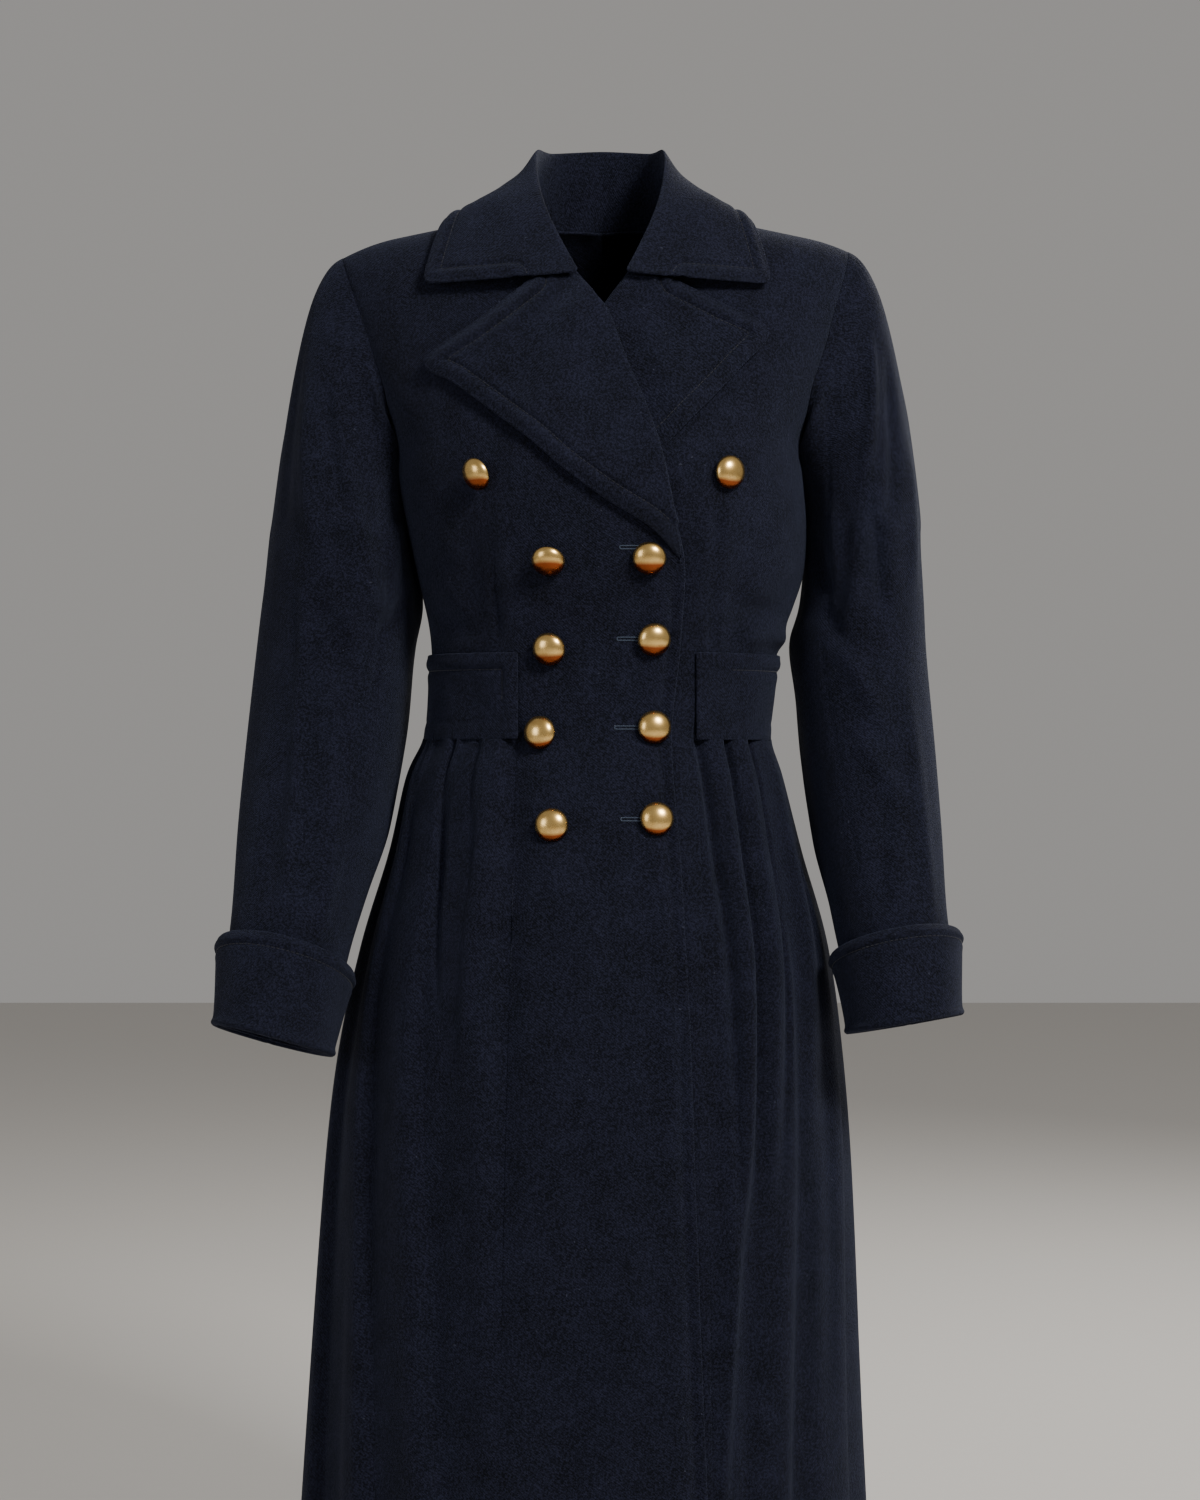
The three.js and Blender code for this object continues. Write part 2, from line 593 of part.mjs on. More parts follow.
// The collar's face: around from the right end to the left end, across from the neck seam over the fold
// to the outer edge.
function collarPoint(around, across) {
  const last = COLLAR.length - 1;
  const station = Math.abs(around * 2 - 1);
  const sign = around < 0.5 ? -1 : 1;
  const place = (1 - station) * last;
  const share = sign < 0 ? COLLAR_SHARE.right : COLLAR_SHARE.left;
  const read = (part, axis) => {
    const i = Math.min(last - 1, Math.floor(place));
    const value = (n) => (n > last ? COLLAR[2 * last - n][part][axis] * (axis === 0 ? -1 : 1)
      : COLLAR[Math.max(0, n)][part][axis]);
    return spline(value(i - 1), value(i), value(i + 1), value(i + 2), place - i);
  };
  const neck = neckSeam(sign, place);
  const lines = [neck, ...['fold', 'fall', 'edge'].map((part) => (
    new THREE.Vector3(sign * share * read(part, 0), read(part, 1), read(part, 2))
  ))];
  const step = across * (lines.length - 1);
  const j = Math.min(lines.length - 2, Math.floor(step));
  const line = (n, axis) => lines[Math.min(lines.length - 1, Math.max(0, n))].getComponent(axis);
  const [x, y, z] = [0, 1, 2].map((axis) => (
    spline(line(j - 1, axis), line(j, axis), line(j + 1, axis), line(j + 2, axis), step - j)
  ));
  return new THREE.Vector3(x, y, z);
}

function collar() {
  return wall('collar', {
    ...COLLAR_GRID,
    place: (u, v, depth) => {
      const face = collarPoint(u, v);
      const normal = surfaceNormal(collarPoint, u, v, false);
      return face.addScaledVector(normal, -depth * CLOTH);
    },
  });
}

// Sleeves and cuffs

// A point of the armhole seam, from the shoulder seam (0) down the front, under the arm (0.5) and up the
// back.
function armholePoint(side, turn) {
  const round = turn - Math.floor(turn);
  const place = UNDERARM_ROW * (1 - Math.abs(1 - 2 * round));
  const row = bodyRow(place);
  const angle = Math.asin(Math.min(1, row.arm) ** (row.power / 2));
  return bodyPoint(side.sign * (round <= 0.5 ? angle : Math.PI - angle), place);
}

// A point of the sleeve below its head, in a ring square to the arm.
function ringPoint(side, turn, place) {
  const ring = readRow(SLEEVES[side.name].rings, place);
  const outer = Math.cos(2 * Math.PI * turn) * ring.half;
  const ahead = Math.sin(2 * Math.PI * turn) * ring.deep;
  const lean = radians(ring.lean);
  const tilt = radians(ring.tilt);
  return new THREE.Vector3(
    side.sign * (ring.out + outer * Math.cos(lean)),
    ring.y - ahead * Math.cos(tilt),
    ring.z + outer * Math.sin(lean) + ahead * Math.sin(tilt),
  );
}

// A point of the sleeve's face: down its length from the armhole (0) to the wrist (1). The head leaves
// the seam outwards and turns down into the first ring.
function sleevePoint(side, turn, down) {
  const last = SLEEVES[side.name].rings.length - 1;
  if (down >= CAP_SHARE) return ringPoint(side, turn, ((down - CAP_SHARE) / (1 - CAP_SHARE)) * last);
  const t = down / CAP_SHARE;
  const upper = (1 + Math.cos(2 * Math.PI * turn)) / 2;
  const pull = mix(CAP_PULL.low, CAP_PULL.top, upper);
  const start = armholePoint(side, turn);
  start.x += side.sign * ARMHOLE_GAP;
  const leave = new THREE.Vector3(side.sign * pull, 0, -mix(CAP_PULL.down, CAP_PULL.over, upper));
  const end = ringPoint(side, turn, 0);
  const arrive = ringPoint(side, turn, RING_STEP).sub(end).normalize().multiplyScalar(CAP_PULL.end);
  const [t2, t3] = [t * t, t * t * t];
  return start.multiplyScalar(2 * t3 - 3 * t2 + 1)
    .addScaledVector(leave, t3 - 2 * t2 + t)
    .addScaledVector(end, 3 * t2 - 2 * t3)
    .addScaledVector(arrive, t3 - t2);
}

function onSleeve(side, turn, down, offset) {
  const surface = (u, v) => sleevePoint(side, u, v);
  const normal = surfaceNormal(surface, turn, down, true);
  return sleevePoint(side, turn, down).addScaledVector(normal, side.sign * offset);
}

const SLEEVE_GRID = { columns: 18, rows: 18 };
const CUFF_GRID = { columns: 18, rows: 4 };

// A sleeve is cut in two, a wide upper piece over the outer side and a narrow one under the arm. They meet
// at a seam towards the front and one behind, given as columns of the sleeve's grid.
const SLEEVE_SEAMS = { front: 6, back: 14 };
const SEAM_TURN = 12e-4;   // half a seam's gap, as a share of the way round

function sleevePiece(name, side, from, to) {
  const { columns, rows } = SLEEVE_GRID;
  return wall(name, {
    columns: to - from,
    rows,
    place: (u, v, depth) => {
      const turn = mix(from / columns + SEAM_TURN, to / columns - SEAM_TURN, u);
      return onSleeve(side, turn, v, -depth * CLOTH);
    },
  });
}

function sleeve(side) {
  const { front: ahead, back: behind } = SLEEVE_SEAMS;
  return [
    sleevePiece(`sleeve_upper_${side.name}`, side, behind, ahead + SLEEVE_GRID.columns),
    sleevePiece(`sleeve_under_${side.name}`, side, ahead, behind),
  ];
}

// Where a cuff's upper rim is along the sleeve.
const CUFF_TOP = 1 - CUFF_LENGTH / SLEEVE_LENGTH;

function cuff(side) {
  return wall(`cuff_${side.name}`, {
    ...CUFF_GRID,
    closed: true,
    place: (u, v, depth) => {
      const rise = CUFF_FLARE * (1 - smooth(0, 0.9, v));
      return onSleeve(side, u, mix(CUFF_TOP, 1, v), GAP + rise + (1 - depth) * CUFF_WALL);
    },
  });
}

// Buttons

// Half a section of a button, as shares of its radius, its rim and its dome.
const BUTTON_PROFILE = [
  { out: 0, rims: 0, domes: 0 },
  { out: 0.92, rims: 0, domes: 0 },
  { out: 1, rims: 0.6, domes: 0 },
  { out: 0.97, rims: 1.3, domes: 0 },
  { out: 0.78, rims: 1, domes: 0.52 },
  { out: 0.42, rims: 1, domes: 0.87 },
  { out: 0, rims: 1, domes: 1 },
];

// A domed button with a flat back, standing on its back at the origin and facing +Z.
function button(name, { radius, dome, rim, facets }, where, facing) {
  const profile = BUTTON_PROFILE.map(({ out, rims, domes }) => (
    new THREE.Vector2(radius * out, rim * rims + dome * domes)
  ));
  const geometry = new THREE.LatheGeometry(profile, facets);
  const mesh = new THREE.Mesh(geometry, new THREE.MeshStandardMaterial(BRASS));
  mesh.name = name;
  geometry.rotateX(Math.PI / 2);
  mesh.quaternion.setFromUnitVectors(new THREE.Vector3(0, 0, 1), facing);
  mesh.position.copy(where);
  return mesh;
}

// A point of the coat's front as it shows, on the lapped front up to its edge and else on the under one.
function onFront(x, z) {
  const place = placeAt(x, z);
  const sign = x < -edgeReach(-1, z) ? -1 : 1;
  return onBody(angleAt(x, place), place, frontOffset(sign, x, z));
}

// Seats a button flat on the front: square to the cloth around it, and just clear of its highest point.
function frontButton({ name, x, z }) {
  const reach = BUTTON.radius;
  const middle = onFront(x, z);
  const rim = [[-reach, 0], [0, -reach], [reach, 0], [0, reach]];
  const around = rim.map(([dx, dz]) => onFront(x + dx, z + dz));
  const across = around[2].clone().sub(around[0]);
  const up = around[3].clone().sub(around[1]);
  const facing = across.cross(up).normalize();
  const highest = Math.max(0, ...around.map((point) => point.clone().sub(middle).dot(facing)));
  return button(name, BUTTON, middle.addScaledVector(facing, highest + GAP), facing);
}

// The small button at the back of a sleeve, above the cuff.
const SLEEVE_BUTTON_AT = { turn: 0.9, down: 0.835 };

function sleeveButton(side) {
  const { turn, down } = SLEEVE_BUTTON_AT;
  const facing = onSleeve(side, turn, down, 1).sub(onSleeve(side, turn, down, 0));
  const where = onSleeve(side, turn, down, GAP);
  return button(`button_sleeve_${side.name}`, SLEEVE_BUTTON, where, facing.normalize());
}

// The coat

const coat = new THREE.Group();
for (const side of SIDES) {
  coat.add(front(side), back(side), lapel(side));
  coat.add(...sleeve(side), cuff(side), sleeveButton(side));
}
coat.add(...skirtQuarters(), band(), collar(), ...BUTTONS.map(frontButton));

export default coat;
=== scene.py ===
# %% [markdown]
# # A long wool overcoat, piece by piece
#
# A tailored coat is a set of flat pieces of thick milled wool, sewn so that they stand round a body. Each
# piece is made here as a maker would think of it: where its edges run, how the cloth lies between them,
# and how thick and soft its edges are. Every surface is a function of two parameters on a grid, worked out
# with numpy in millimetres and scaled to metres when it becomes a mesh.

import bpy
import numpy as np
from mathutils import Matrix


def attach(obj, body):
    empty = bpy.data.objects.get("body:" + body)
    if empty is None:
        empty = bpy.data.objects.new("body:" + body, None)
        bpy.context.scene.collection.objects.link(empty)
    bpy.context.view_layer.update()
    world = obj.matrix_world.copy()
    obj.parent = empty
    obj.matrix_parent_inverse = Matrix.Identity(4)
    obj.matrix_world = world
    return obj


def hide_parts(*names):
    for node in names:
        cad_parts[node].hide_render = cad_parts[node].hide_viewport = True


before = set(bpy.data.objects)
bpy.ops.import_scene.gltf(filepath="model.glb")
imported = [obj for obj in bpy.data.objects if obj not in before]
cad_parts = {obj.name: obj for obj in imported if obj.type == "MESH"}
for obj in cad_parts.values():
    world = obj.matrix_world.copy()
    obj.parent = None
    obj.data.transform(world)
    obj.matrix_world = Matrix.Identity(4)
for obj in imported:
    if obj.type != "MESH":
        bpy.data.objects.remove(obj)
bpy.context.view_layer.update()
MM = 0.001
print("the packed model's nodes:", len(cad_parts))

# %% [markdown]
# ## The camera first
#
# The picture is 1200 by 1500 and shows 1305 mm of height at the plane of the shoulders. A lens of about
# 72 mm from 2.6 m away keeps the quiet perspective of a studio portrait. The camera is level, at the
# height of the waist.

# %% Camera
PICTURE_HEIGHT = 1.305
DISTANCE = 2.6
EYE_HEIGHT = -0.45
SENSOR = 36.0
camera_data = bpy.data.cameras.new("studio_camera")
camera_data.sensor_width = SENSOR
camera_data.lens = SENSOR * DISTANCE / PICTURE_HEIGHT
camera = bpy.data.objects.new("studio_camera", camera_data)
camera.location = (-0.002, -DISTANCE, EYE_HEIGHT)
camera.rotation_euler = (np.pi / 2, 0, 0)
bpy.context.collection.objects.link(camera)
bpy.context.scene.camera = camera
print(f"lens {camera_data.lens:.1f} mm at {DISTANCE} m")

# %% [markdown]
# ## Small tools for surfaces
#
# A tailor's curve passes smoothly through a few marks. The same is done here with a Catmull-Rom curve
# through the rows of a short table.


# %% Curves through tables
def smooth(low, high, value):
    """0 below low, 1 above high, and 3t^2 - 2t^3 between them."""
    t = np.clip((value - low) / (high - low), 0.0, 1.0)
    return t * t * (3 - 2 * t)


def mix(a, b, t):
    """a where t is 0 and b where t is 1, in a straight line between."""
    return a + (b - a) * t


def spline(before, a, b, after, t):
    """A Catmull-Rom curve: the cubic through a and b whose slopes are half the step over each."""
    square = (2 * before - 5 * a + 4 * b - after) * t**2
    cubic = (3 * (a - b) + after - before) * t**3
    return 0.5 * (2 * a + (b - before) * t + square + cubic)


def read_rows(table, place):
    """Every column of a table at places between its rows, with the ends held."""
    last = len(table) - 1
    i = np.clip(np.floor(place).astype(int), 0, last - 1)
    t = (place - i)[..., None]
    before = table[np.maximum(i - 1, 0)]
    after = table[np.minimum(i + 2, last)]
    return spline(before, table[i], table[i + 1], after, t)


def read_at_level(table, level):
    """The second column of a table at a height, where the first column falls from row to row."""
    heights = table[:, 0]
    level = np.clip(level, heights[-1], heights[0])
    i = np.clip(len(heights) - 1 - np.searchsorted(heights[::-1], level, side="left"), 0, len(heights) - 2)
    t = (heights[i] - level) / (heights[i] - heights[i + 1])
    return read_rows(table[:, 1:], i + np.clip(t, 0, 1 - 1e-9))[..., 0]


# %% [markdown]
# ## The body the coat is cut for
#
# The coat's shape comes from one smooth surface. Each row of the table is a ring round the body: its
# height, its half width on the right and left, its depth to the front and back, how square it is, how much
# of the shoulders' slope it follows, and where the armhole crosses it as a share of the half width. A ring
# is a superellipse, x = half * sin^(2/power) and y = -depth * cos^(2/power), which is fuller at its corners
# than an ellipse, as a clothed chest is.

# %% Table of the body
WAIST_SEAM = -441.0
BODY = np.array([
    # level, right, left, front, back, power, drop, arm
    [17, 238, 226, 0, 0, 2.4, 1, 0.942],
    [13, 238, 226, 33, 31, 2.4, 1, 0.942],
    [2, 235, 224, 58, 56, 2.4, 1, 0.942],
    [-18, 230, 220, 76, 77, 2.4, 0.95, 0.94],
    [-50, 222, 213, 91, 94, 2.4, 0.8, 0.935],
    [-90, 212, 205, 104, 105, 2.4, 0.55, 0.93],
    [-140, 197, 189, 119, 110, 2.4, 0.25, 0.94],
    [-187, 179, 172, 131, 108, 2.35, 0, 1],
    [-215, 177, 174, 135, 105, 2.3, 0, 1],
    [-258, 169, 177, 130, 100, 2.3, 0, 1],
    [-300, 160, 174, 121, 94, 2.3, 0, 1],
    [-340, 151, 160, 112, 89, 2.25, 0, 1],
    [-369, 148, 151, 108, 86, 2.25, 0, 1],
    [-405, 148, 146, 107, 86, 2.25, 0, 1],
    [WAIST_SEAM, 152, 143, 112, 92, 2.25, 0, 1],
    [-475, 167, 153, 122, 108, 2.25, 0, 1],
    [-540, 181, 169, 136, 128, 2.25, 0, 1],
    [-620, 204, 190, 150, 148, 2.25, 0, 1],
    [-720, 224, 202, 164, 166, 2.2, 0, 1],
    [-850, 238, 210, 176, 182, 2.2, 0, 1],
    [-1030, 252, 216, 190, 198, 2.2, 0, 1],
    [-1221, 265, 224, 205, 214, 2.2, 0, 1],
])
LEVEL, RIGHT, LEFT, FRONT, BACK, POWER, DROP, ARM = range(8)
HEM_ROW = len(BODY) - 1
UNDERARM_ROW = 7
WAIST_ROW = 14
SHOULDER_SLOPE = 0.2
NECK_HALF = 65.0
RIDGE_SOFTNESS = 30.0
SHOULDER_TURN, SHOULDER_OVER, SHOULDER_DROP = 178.0, 46.0, 7.0
over_the_shoulder = BODY[1].copy()
over_the_shoulder[[FRONT, BACK]] = -BODY[1, BACK], -BODY[1, FRONT]
BODY_AND_OVER = np.vstack([over_the_shoulder, BODY])
print("body rows:", len(BODY))


# %% Points of the body
def body_row(place):
    """The body table between its rows. Over the shoulder seam the front goes on as the back."""
    i = np.clip(np.floor(place).astype(int), 0, HEM_ROW - 1)
    t = (place - i)[..., None]
    table = BODY_AND_OVER
    after = table[np.minimum(i + 3, HEM_ROW + 1)]
    return spline(table[i], table[i + 1], table[i + 2], after, t)


def shoulder_fall(x):
    """How far the shoulder has fallen at x from the middle: an even slope, then a rounder turn."""
    past = np.maximum(0, np.abs(x) - SHOULDER_TURN) / SHOULDER_OVER
    return SHOULDER_SLOPE * (np.hypot(x, RIDGE_SOFTNESS) - NECK_HALF) + SHOULDER_DROP * past**2


def body_point(angle, place):
    """The surface at an angle round the body (0 in front, growing to the wearer's left) and a row."""
    over = place < 0
    angle = np.where(over, np.pi - angle, angle)
    row = body_row(np.abs(place))
    across = np.sin(angle)
    ahead = np.cos(angle)
    half = np.where(across < 0, row[..., RIGHT], row[..., LEFT])
    depth = np.where(ahead > 0, row[..., FRONT], row[..., BACK])
    x = np.sign(across) * half * np.abs(across) ** (2 / row[..., POWER])
    y = -np.sign(ahead) * depth * np.abs(ahead) ** (2 / row[..., POWER])
    z = row[..., LEVEL] - row[..., DROP] * shoulder_fall(x)
    return np.stack([x, y, z], axis=-1)


def unit(vectors):
    """Vectors made one long."""
    return vectors / np.maximum(np.linalg.norm(vectors, axis=-1, keepdims=True), 1e-9)


def body_normal(angle, place):
    """Square to the surface: the cross product of a small step down and a small step round."""
    step = 1e-3
    low = np.minimum(HEM_ROW, place + step)
    around = body_point(angle + step, place) - body_point(angle - step, place)
    down = body_point(angle, low) - body_point(angle, low - 2 * step)
    return unit(np.cross(down, around))


def on_body(angle, place, offset):
    """The surface moved out by an offset in millimetres."""
    return body_point(angle, place) + body_normal(angle, place) * np.asarray(offset)[..., None]


def angle_at(x, place):
    """The angle at which a row's front lies x from the middle: asin of (x / half)^(power / 2)."""
    row = body_row(place)
    half = np.where(x < 0, row[..., RIGHT], row[..., LEFT])
    share = np.clip(np.abs(x) / half, 0, 1)
    return np.sign(x) * np.arcsin(share ** (row[..., POWER] / 2))


def place_at(x, z):
    """The row whose front has the height z at x, found by halving the table again and again."""
    x, z = np.broadcast_arrays(np.asarray(x, float), np.asarray(z, float))
    high = np.zeros(x.shape)
    low = np.full(x.shape, float(HEM_ROW))
    for _ in range(26):
        middle = (high + low) / 2
        row = body_row(middle)
        above = row[..., LEVEL] - row[..., DROP] * shoulder_fall(x) > z
        high = np.where(above, middle, high)
        low = np.where(above, low, middle)
    return (high + low) / 2


chest = body_point(np.array([0.0]), np.array([8.0]))[0]
print("the chest stands", round(-chest[1]), "mm in front of the middle")

# %% [markdown]
# ## From a surface to cloth
#
# Wool this heavy is about 2.5 mm thick, and its edges are turned and pressed, so they look round and
# soft. A Solidify modifier would give square rims. Here a wall is built instead: the outer face, an inner
# face parallel to it, and a half round rim along every free edge. Along a seam the rim is nearly flat, so
# that two pieces meet in a fine groove.


# %% Walls of cloth
def grid_normals(points, closed=False):
    """Square to a grid of points: the cross product of its two central differences."""
    if closed:
        across = np.roll(points, -1, axis=1) - np.roll(points, 1, axis=1)
    else:
        across = np.gradient(points, axis=1)
    down = np.gradient(points, axis=0)
    return unit(np.cross(down, across))


def grid_lengths(points, closed=False):
    """How far each point of a grid lies along its row and down its column, in millimetres."""
    steps = np.linalg.norm(np.diff(points, axis=1), axis=-1).mean(axis=0)
    across = np.concatenate([[0], np.cumsum(steps)])
    fall = np.linalg.norm(np.diff(points, axis=0), axis=-1).mean(axis=1)
    down = np.concatenate([[0], np.cumsum(fall)])
    return np.broadcast_arrays(across[None, :], down[:, None])


RIM_STEPS = 4
SEAM_BULGE = 0.5


def wall(points, normals, thick, keep=None, closed=False, bulge=None):
    """A closed wall over a grid.

    The inner face is each point less its normal times the thickness. A rim runs round every edge of the
    kept cells: for an angle from 0 to 180 degrees, the middle of the wall plus the normal times
    half the thickness times the cosine, plus the way out of the cloth times the bulge times the sine.
    """
    rows, columns = points.shape[:2]
    number = np.arange(rows * columns).reshape(rows, columns)
    right = np.roll(number, -1, axis=1) if closed else number[:, 1:]
    left = number if closed else number[:, :-1]
    cells = np.stack([left[:-1], left[1:], right[1:], right[:-1]], axis=-1)
    cells = cells[keep] if keep is not None else cells.reshape(-1, 4)
    flat = points.reshape(-1, 3)
    out = normals.reshape(-1, 3)
    a, b, c = flat[cells[:, 0]], flat[cells[:, 1]], flat[cells[:, 2]]
    facing = np.einsum("ij,ij->i", np.cross(b - a, c - a), out[cells[:, 0]]).sum()
    if facing < 0:
        cells = cells[:, ::-1]
    count = len(flat)
    inner = flat - out * thick
    tail, head = boundary(cells, count)
    on_edge, place = np.unique(np.concatenate([tail, head]), return_inverse=True)
    tail_at, head_at = place[: len(tail)], place[len(tail):]
    along = flat[head] - flat[tail]
    outward = unit(np.cross(along, out[tail]))
    spread = np.zeros((len(on_edge), 3))
    np.add.at(spread, tail_at, outward)
    np.add.at(spread, head_at, outward)
    spread = unit(spread)
    swell = np.full(count, SEAM_BULGE) if bulge is None else np.asarray(bulge).reshape(-1)
    swell = swell[on_edge][:, None]
    middle = flat[on_edge] - out[on_edge] * thick / 2
    loops = [on_edge]
    rims = []
    for step in range(1, RIM_STEPS):
        turn = np.pi * step / RIM_STEPS
        rims.append(middle + out[on_edge] * (thick / 2) * np.cos(turn) + spread * swell * np.sin(turn))
        loops.append(2 * count + (step - 1) * len(on_edge) + np.arange(len(on_edge)))
    loops.append(on_edge + count)
    strips = [
        np.stack([one[head_at], one[tail_at], two[tail_at], two[head_at]], axis=-1)
        for one, two in zip(loops[:-1], loops[1:])
    ]
    faces = np.vstack([cells, cells[:, ::-1] + count, *strips])
    vertices = np.vstack([flat, inner, *rims])
    source = np.concatenate([np.arange(count), np.arange(count), np.tile(on_edge, RIM_STEPS - 1)])
    return vertices, faces, source


def boundary(cells, count):
    """The edges of a set of cells that no other cell shares, each from its tail to its head."""
    tail = cells.ravel()
    head = np.roll(cells, -1, axis=1).ravel()
    forward = tail * count + head
    backward = head * count + tail
    free = ~np.isin(forward, backward)
    return tail[free], head[free]


def finish_mesh(name, mesh, material):
    """Shades a mesh smoothly, gives it its material and puts it into the scene as an object."""
    mesh.polygons.foreach_set("use_smooth", np.ones(len(mesh.polygons), bool))
    mesh.materials.append(material)
    mesh.update()
    piece = bpy.data.objects.new(name, mesh)
    bpy.context.collection.objects.link(piece)
    return piece


def make_object(name, vertices, faces, material, maps, rub):
    """A mesh object from arrays in millimetres, with its cloth map in metres and its rubbed edges."""
    used, turned = np.unique(faces, return_inverse=True)
    faces = turned.reshape(faces.shape)
    mesh = bpy.data.meshes.new(name)
    mesh.from_pydata(vertices[used] * MM, [], faces)
    layer = mesh.uv_layers.new(name="cloth")
    layer.data.foreach_set("uv", (maps[used] * MM)[faces.ravel()].ravel())
    field = mesh.attributes.new("rub", "FLOAT", "POINT")
    field.data.foreach_set("value", rub[used])
    mesh.validate()
    return finish_mesh(name, mesh, material)


def distance_to(points, path):
    """How far each point is from a line through the points of a path, piece by piece, kept least."""
    best = np.full(points.shape[:-1], np.inf)
    for start, end in zip(path[:-1], path[1:]):
        way = end - start
        t = np.clip(((points - start) @ way) / max(way @ way, 1e-9), 0, 1)
        best = np.minimum(best, np.linalg.norm(points - start - t[..., None] * way, axis=-1))
    return best


def creases(across, down, table, held=False):
    """The height of listed creases. Each row is a line from one place to another, its width and its
    height, and the height falls off as a bell curve beside the line and to nothing at its ends. Where the
    cloth is held, as in a seam, a crease starts at its full height."""
    height = np.zeros(np.broadcast(across, down).shape)
    for x0, z0, x1, z1, width, size in table:
        way = np.array([x1 - x0, z1 - z0], float)
        t = ((across - x0) * way[0] + (down - z0) * way[1]) / (way @ way)
        off = np.hypot(across - x0 - np.clip(t, 0, 1) * way[0], down - z0 - np.clip(t, 0, 1) * way[1])
        begins = 1.0 if held else smooth(-0.05, 0.3, t)
        ends = begins * (1 - smooth(0.45 if held else 0.7, 1.05, t))
        height += size * ends * np.exp(-((off / width) ** 2))
    return height


print("tools for cloth are ready")

# %% [markdown]
# ## Materials as expressions
#
# A shader is arithmetic on patterns. A small class wraps a socket, so that a pattern can be written as an
# expression. Any other node comes from one method.


# %% A small language for shaders
class Value:
    """A number that changes over the surface, with the arithmetic that the materials use."""

    def __init__(self, paint, socket):
        self.paint = paint
        self.socket = socket

    def maths(self, operation, first, second):
        """One step of arithmetic."""
        return self.paint.node("ShaderNodeMath", {"operation": operation}, {0: first, 1: second})

    def __add__(self, other):
        return self.maths("ADD", self, other)

    __radd__ = __add__

    def __mul__(self, other):
        return self.maths("MULTIPLY", self, other)

    __rmul__ = __mul__

    def __sub__(self, other):
        return self.maths("SUBTRACT", self, other)

    def __rsub__(self, other):
        return self.maths("SUBTRACT", other, self)

    def between(self, low, high):
        """0 where this is at low and 1 where it is at high, held at both ends."""
        sockets = {"Value": self, "From Min": low, "From Max": high}
        return self.paint.node("ShaderNodeMapRange", {"clamp": True}, sockets)


class Paint:
    """A material and its nodes."""

    def __init__(self, name):
        self.material = bpy.data.materials.new(name)
        self.material.use_nodes = True
        self.tree = self.material.node_tree
        self.tree.nodes.clear()

    def node(self, kind, settings=None, sockets=None, output=0):
        """Adds a node, sets its settings first, then the values or links of its sockets."""
        node = self.tree.nodes.new(kind)
        for key, value in (settings or {}).items():
            setattr(node, key, value)
        for key, value in (sockets or {}).items():
            if isinstance(value, Value):
                self.tree.links.new(value.socket, node.inputs[key])
            else:
                node.inputs[key].default_value = value
        return Value(self, node.outputs[output])

    def noise(self, where, scale, detail=2.0, rough=0.5):
        """Cloudy noise, with so many clouds to a metre."""
        sockets = {"Vector": where, "Scale": scale, "Detail": detail, "Roughness": rough}
        return self.node("ShaderNodeTexNoise", {}, sockets)

    def blend(self, share, first, second):
        """A mix of two colours."""
        sockets = {0: share, 6: first, 7: second}
        return self.node("ShaderNodeMix", {"data_type": "RGBA"}, sockets, output=2)

    def finish(self, **sockets):
        """Puts the sockets into a Principled surface and returns the material."""
        named = {key.replace("_", " "): value for key, value in sockets.items()}
        surface = self.node("ShaderNodeBsdfPrincipled", {}, named)
        output = self.tree.nodes.new("ShaderNodeOutputMaterial")
        self.tree.links.new(surface.socket, output.inputs["Surface"])
        return self.material


# %% [markdown]
# ## The wool
#
# Milled coating is woven, then felted until the weave sinks under a short nap. From a step away it is a
# dark, quiet navy that breaks up into fine grains, a little lighter where the nap stands and along rubbed
# edges. So the colour mixes a deep and a lighter navy by noise of three sizes, with a faint weave on the
# cloth's own map, and the sheen gives the soft bloom of nap at a glancing angle.

# %% Wool
NAVY_DEEP = (0.0008, 0.0013, 0.0028, 1)
NAVY_LIT = (0.0124, 0.0141, 0.0312, 1)
NAVY_RUBBED = (0.0130, 0.0150, 0.0330, 1)
LINT = (0.09, 0.10, 0.15, 1)


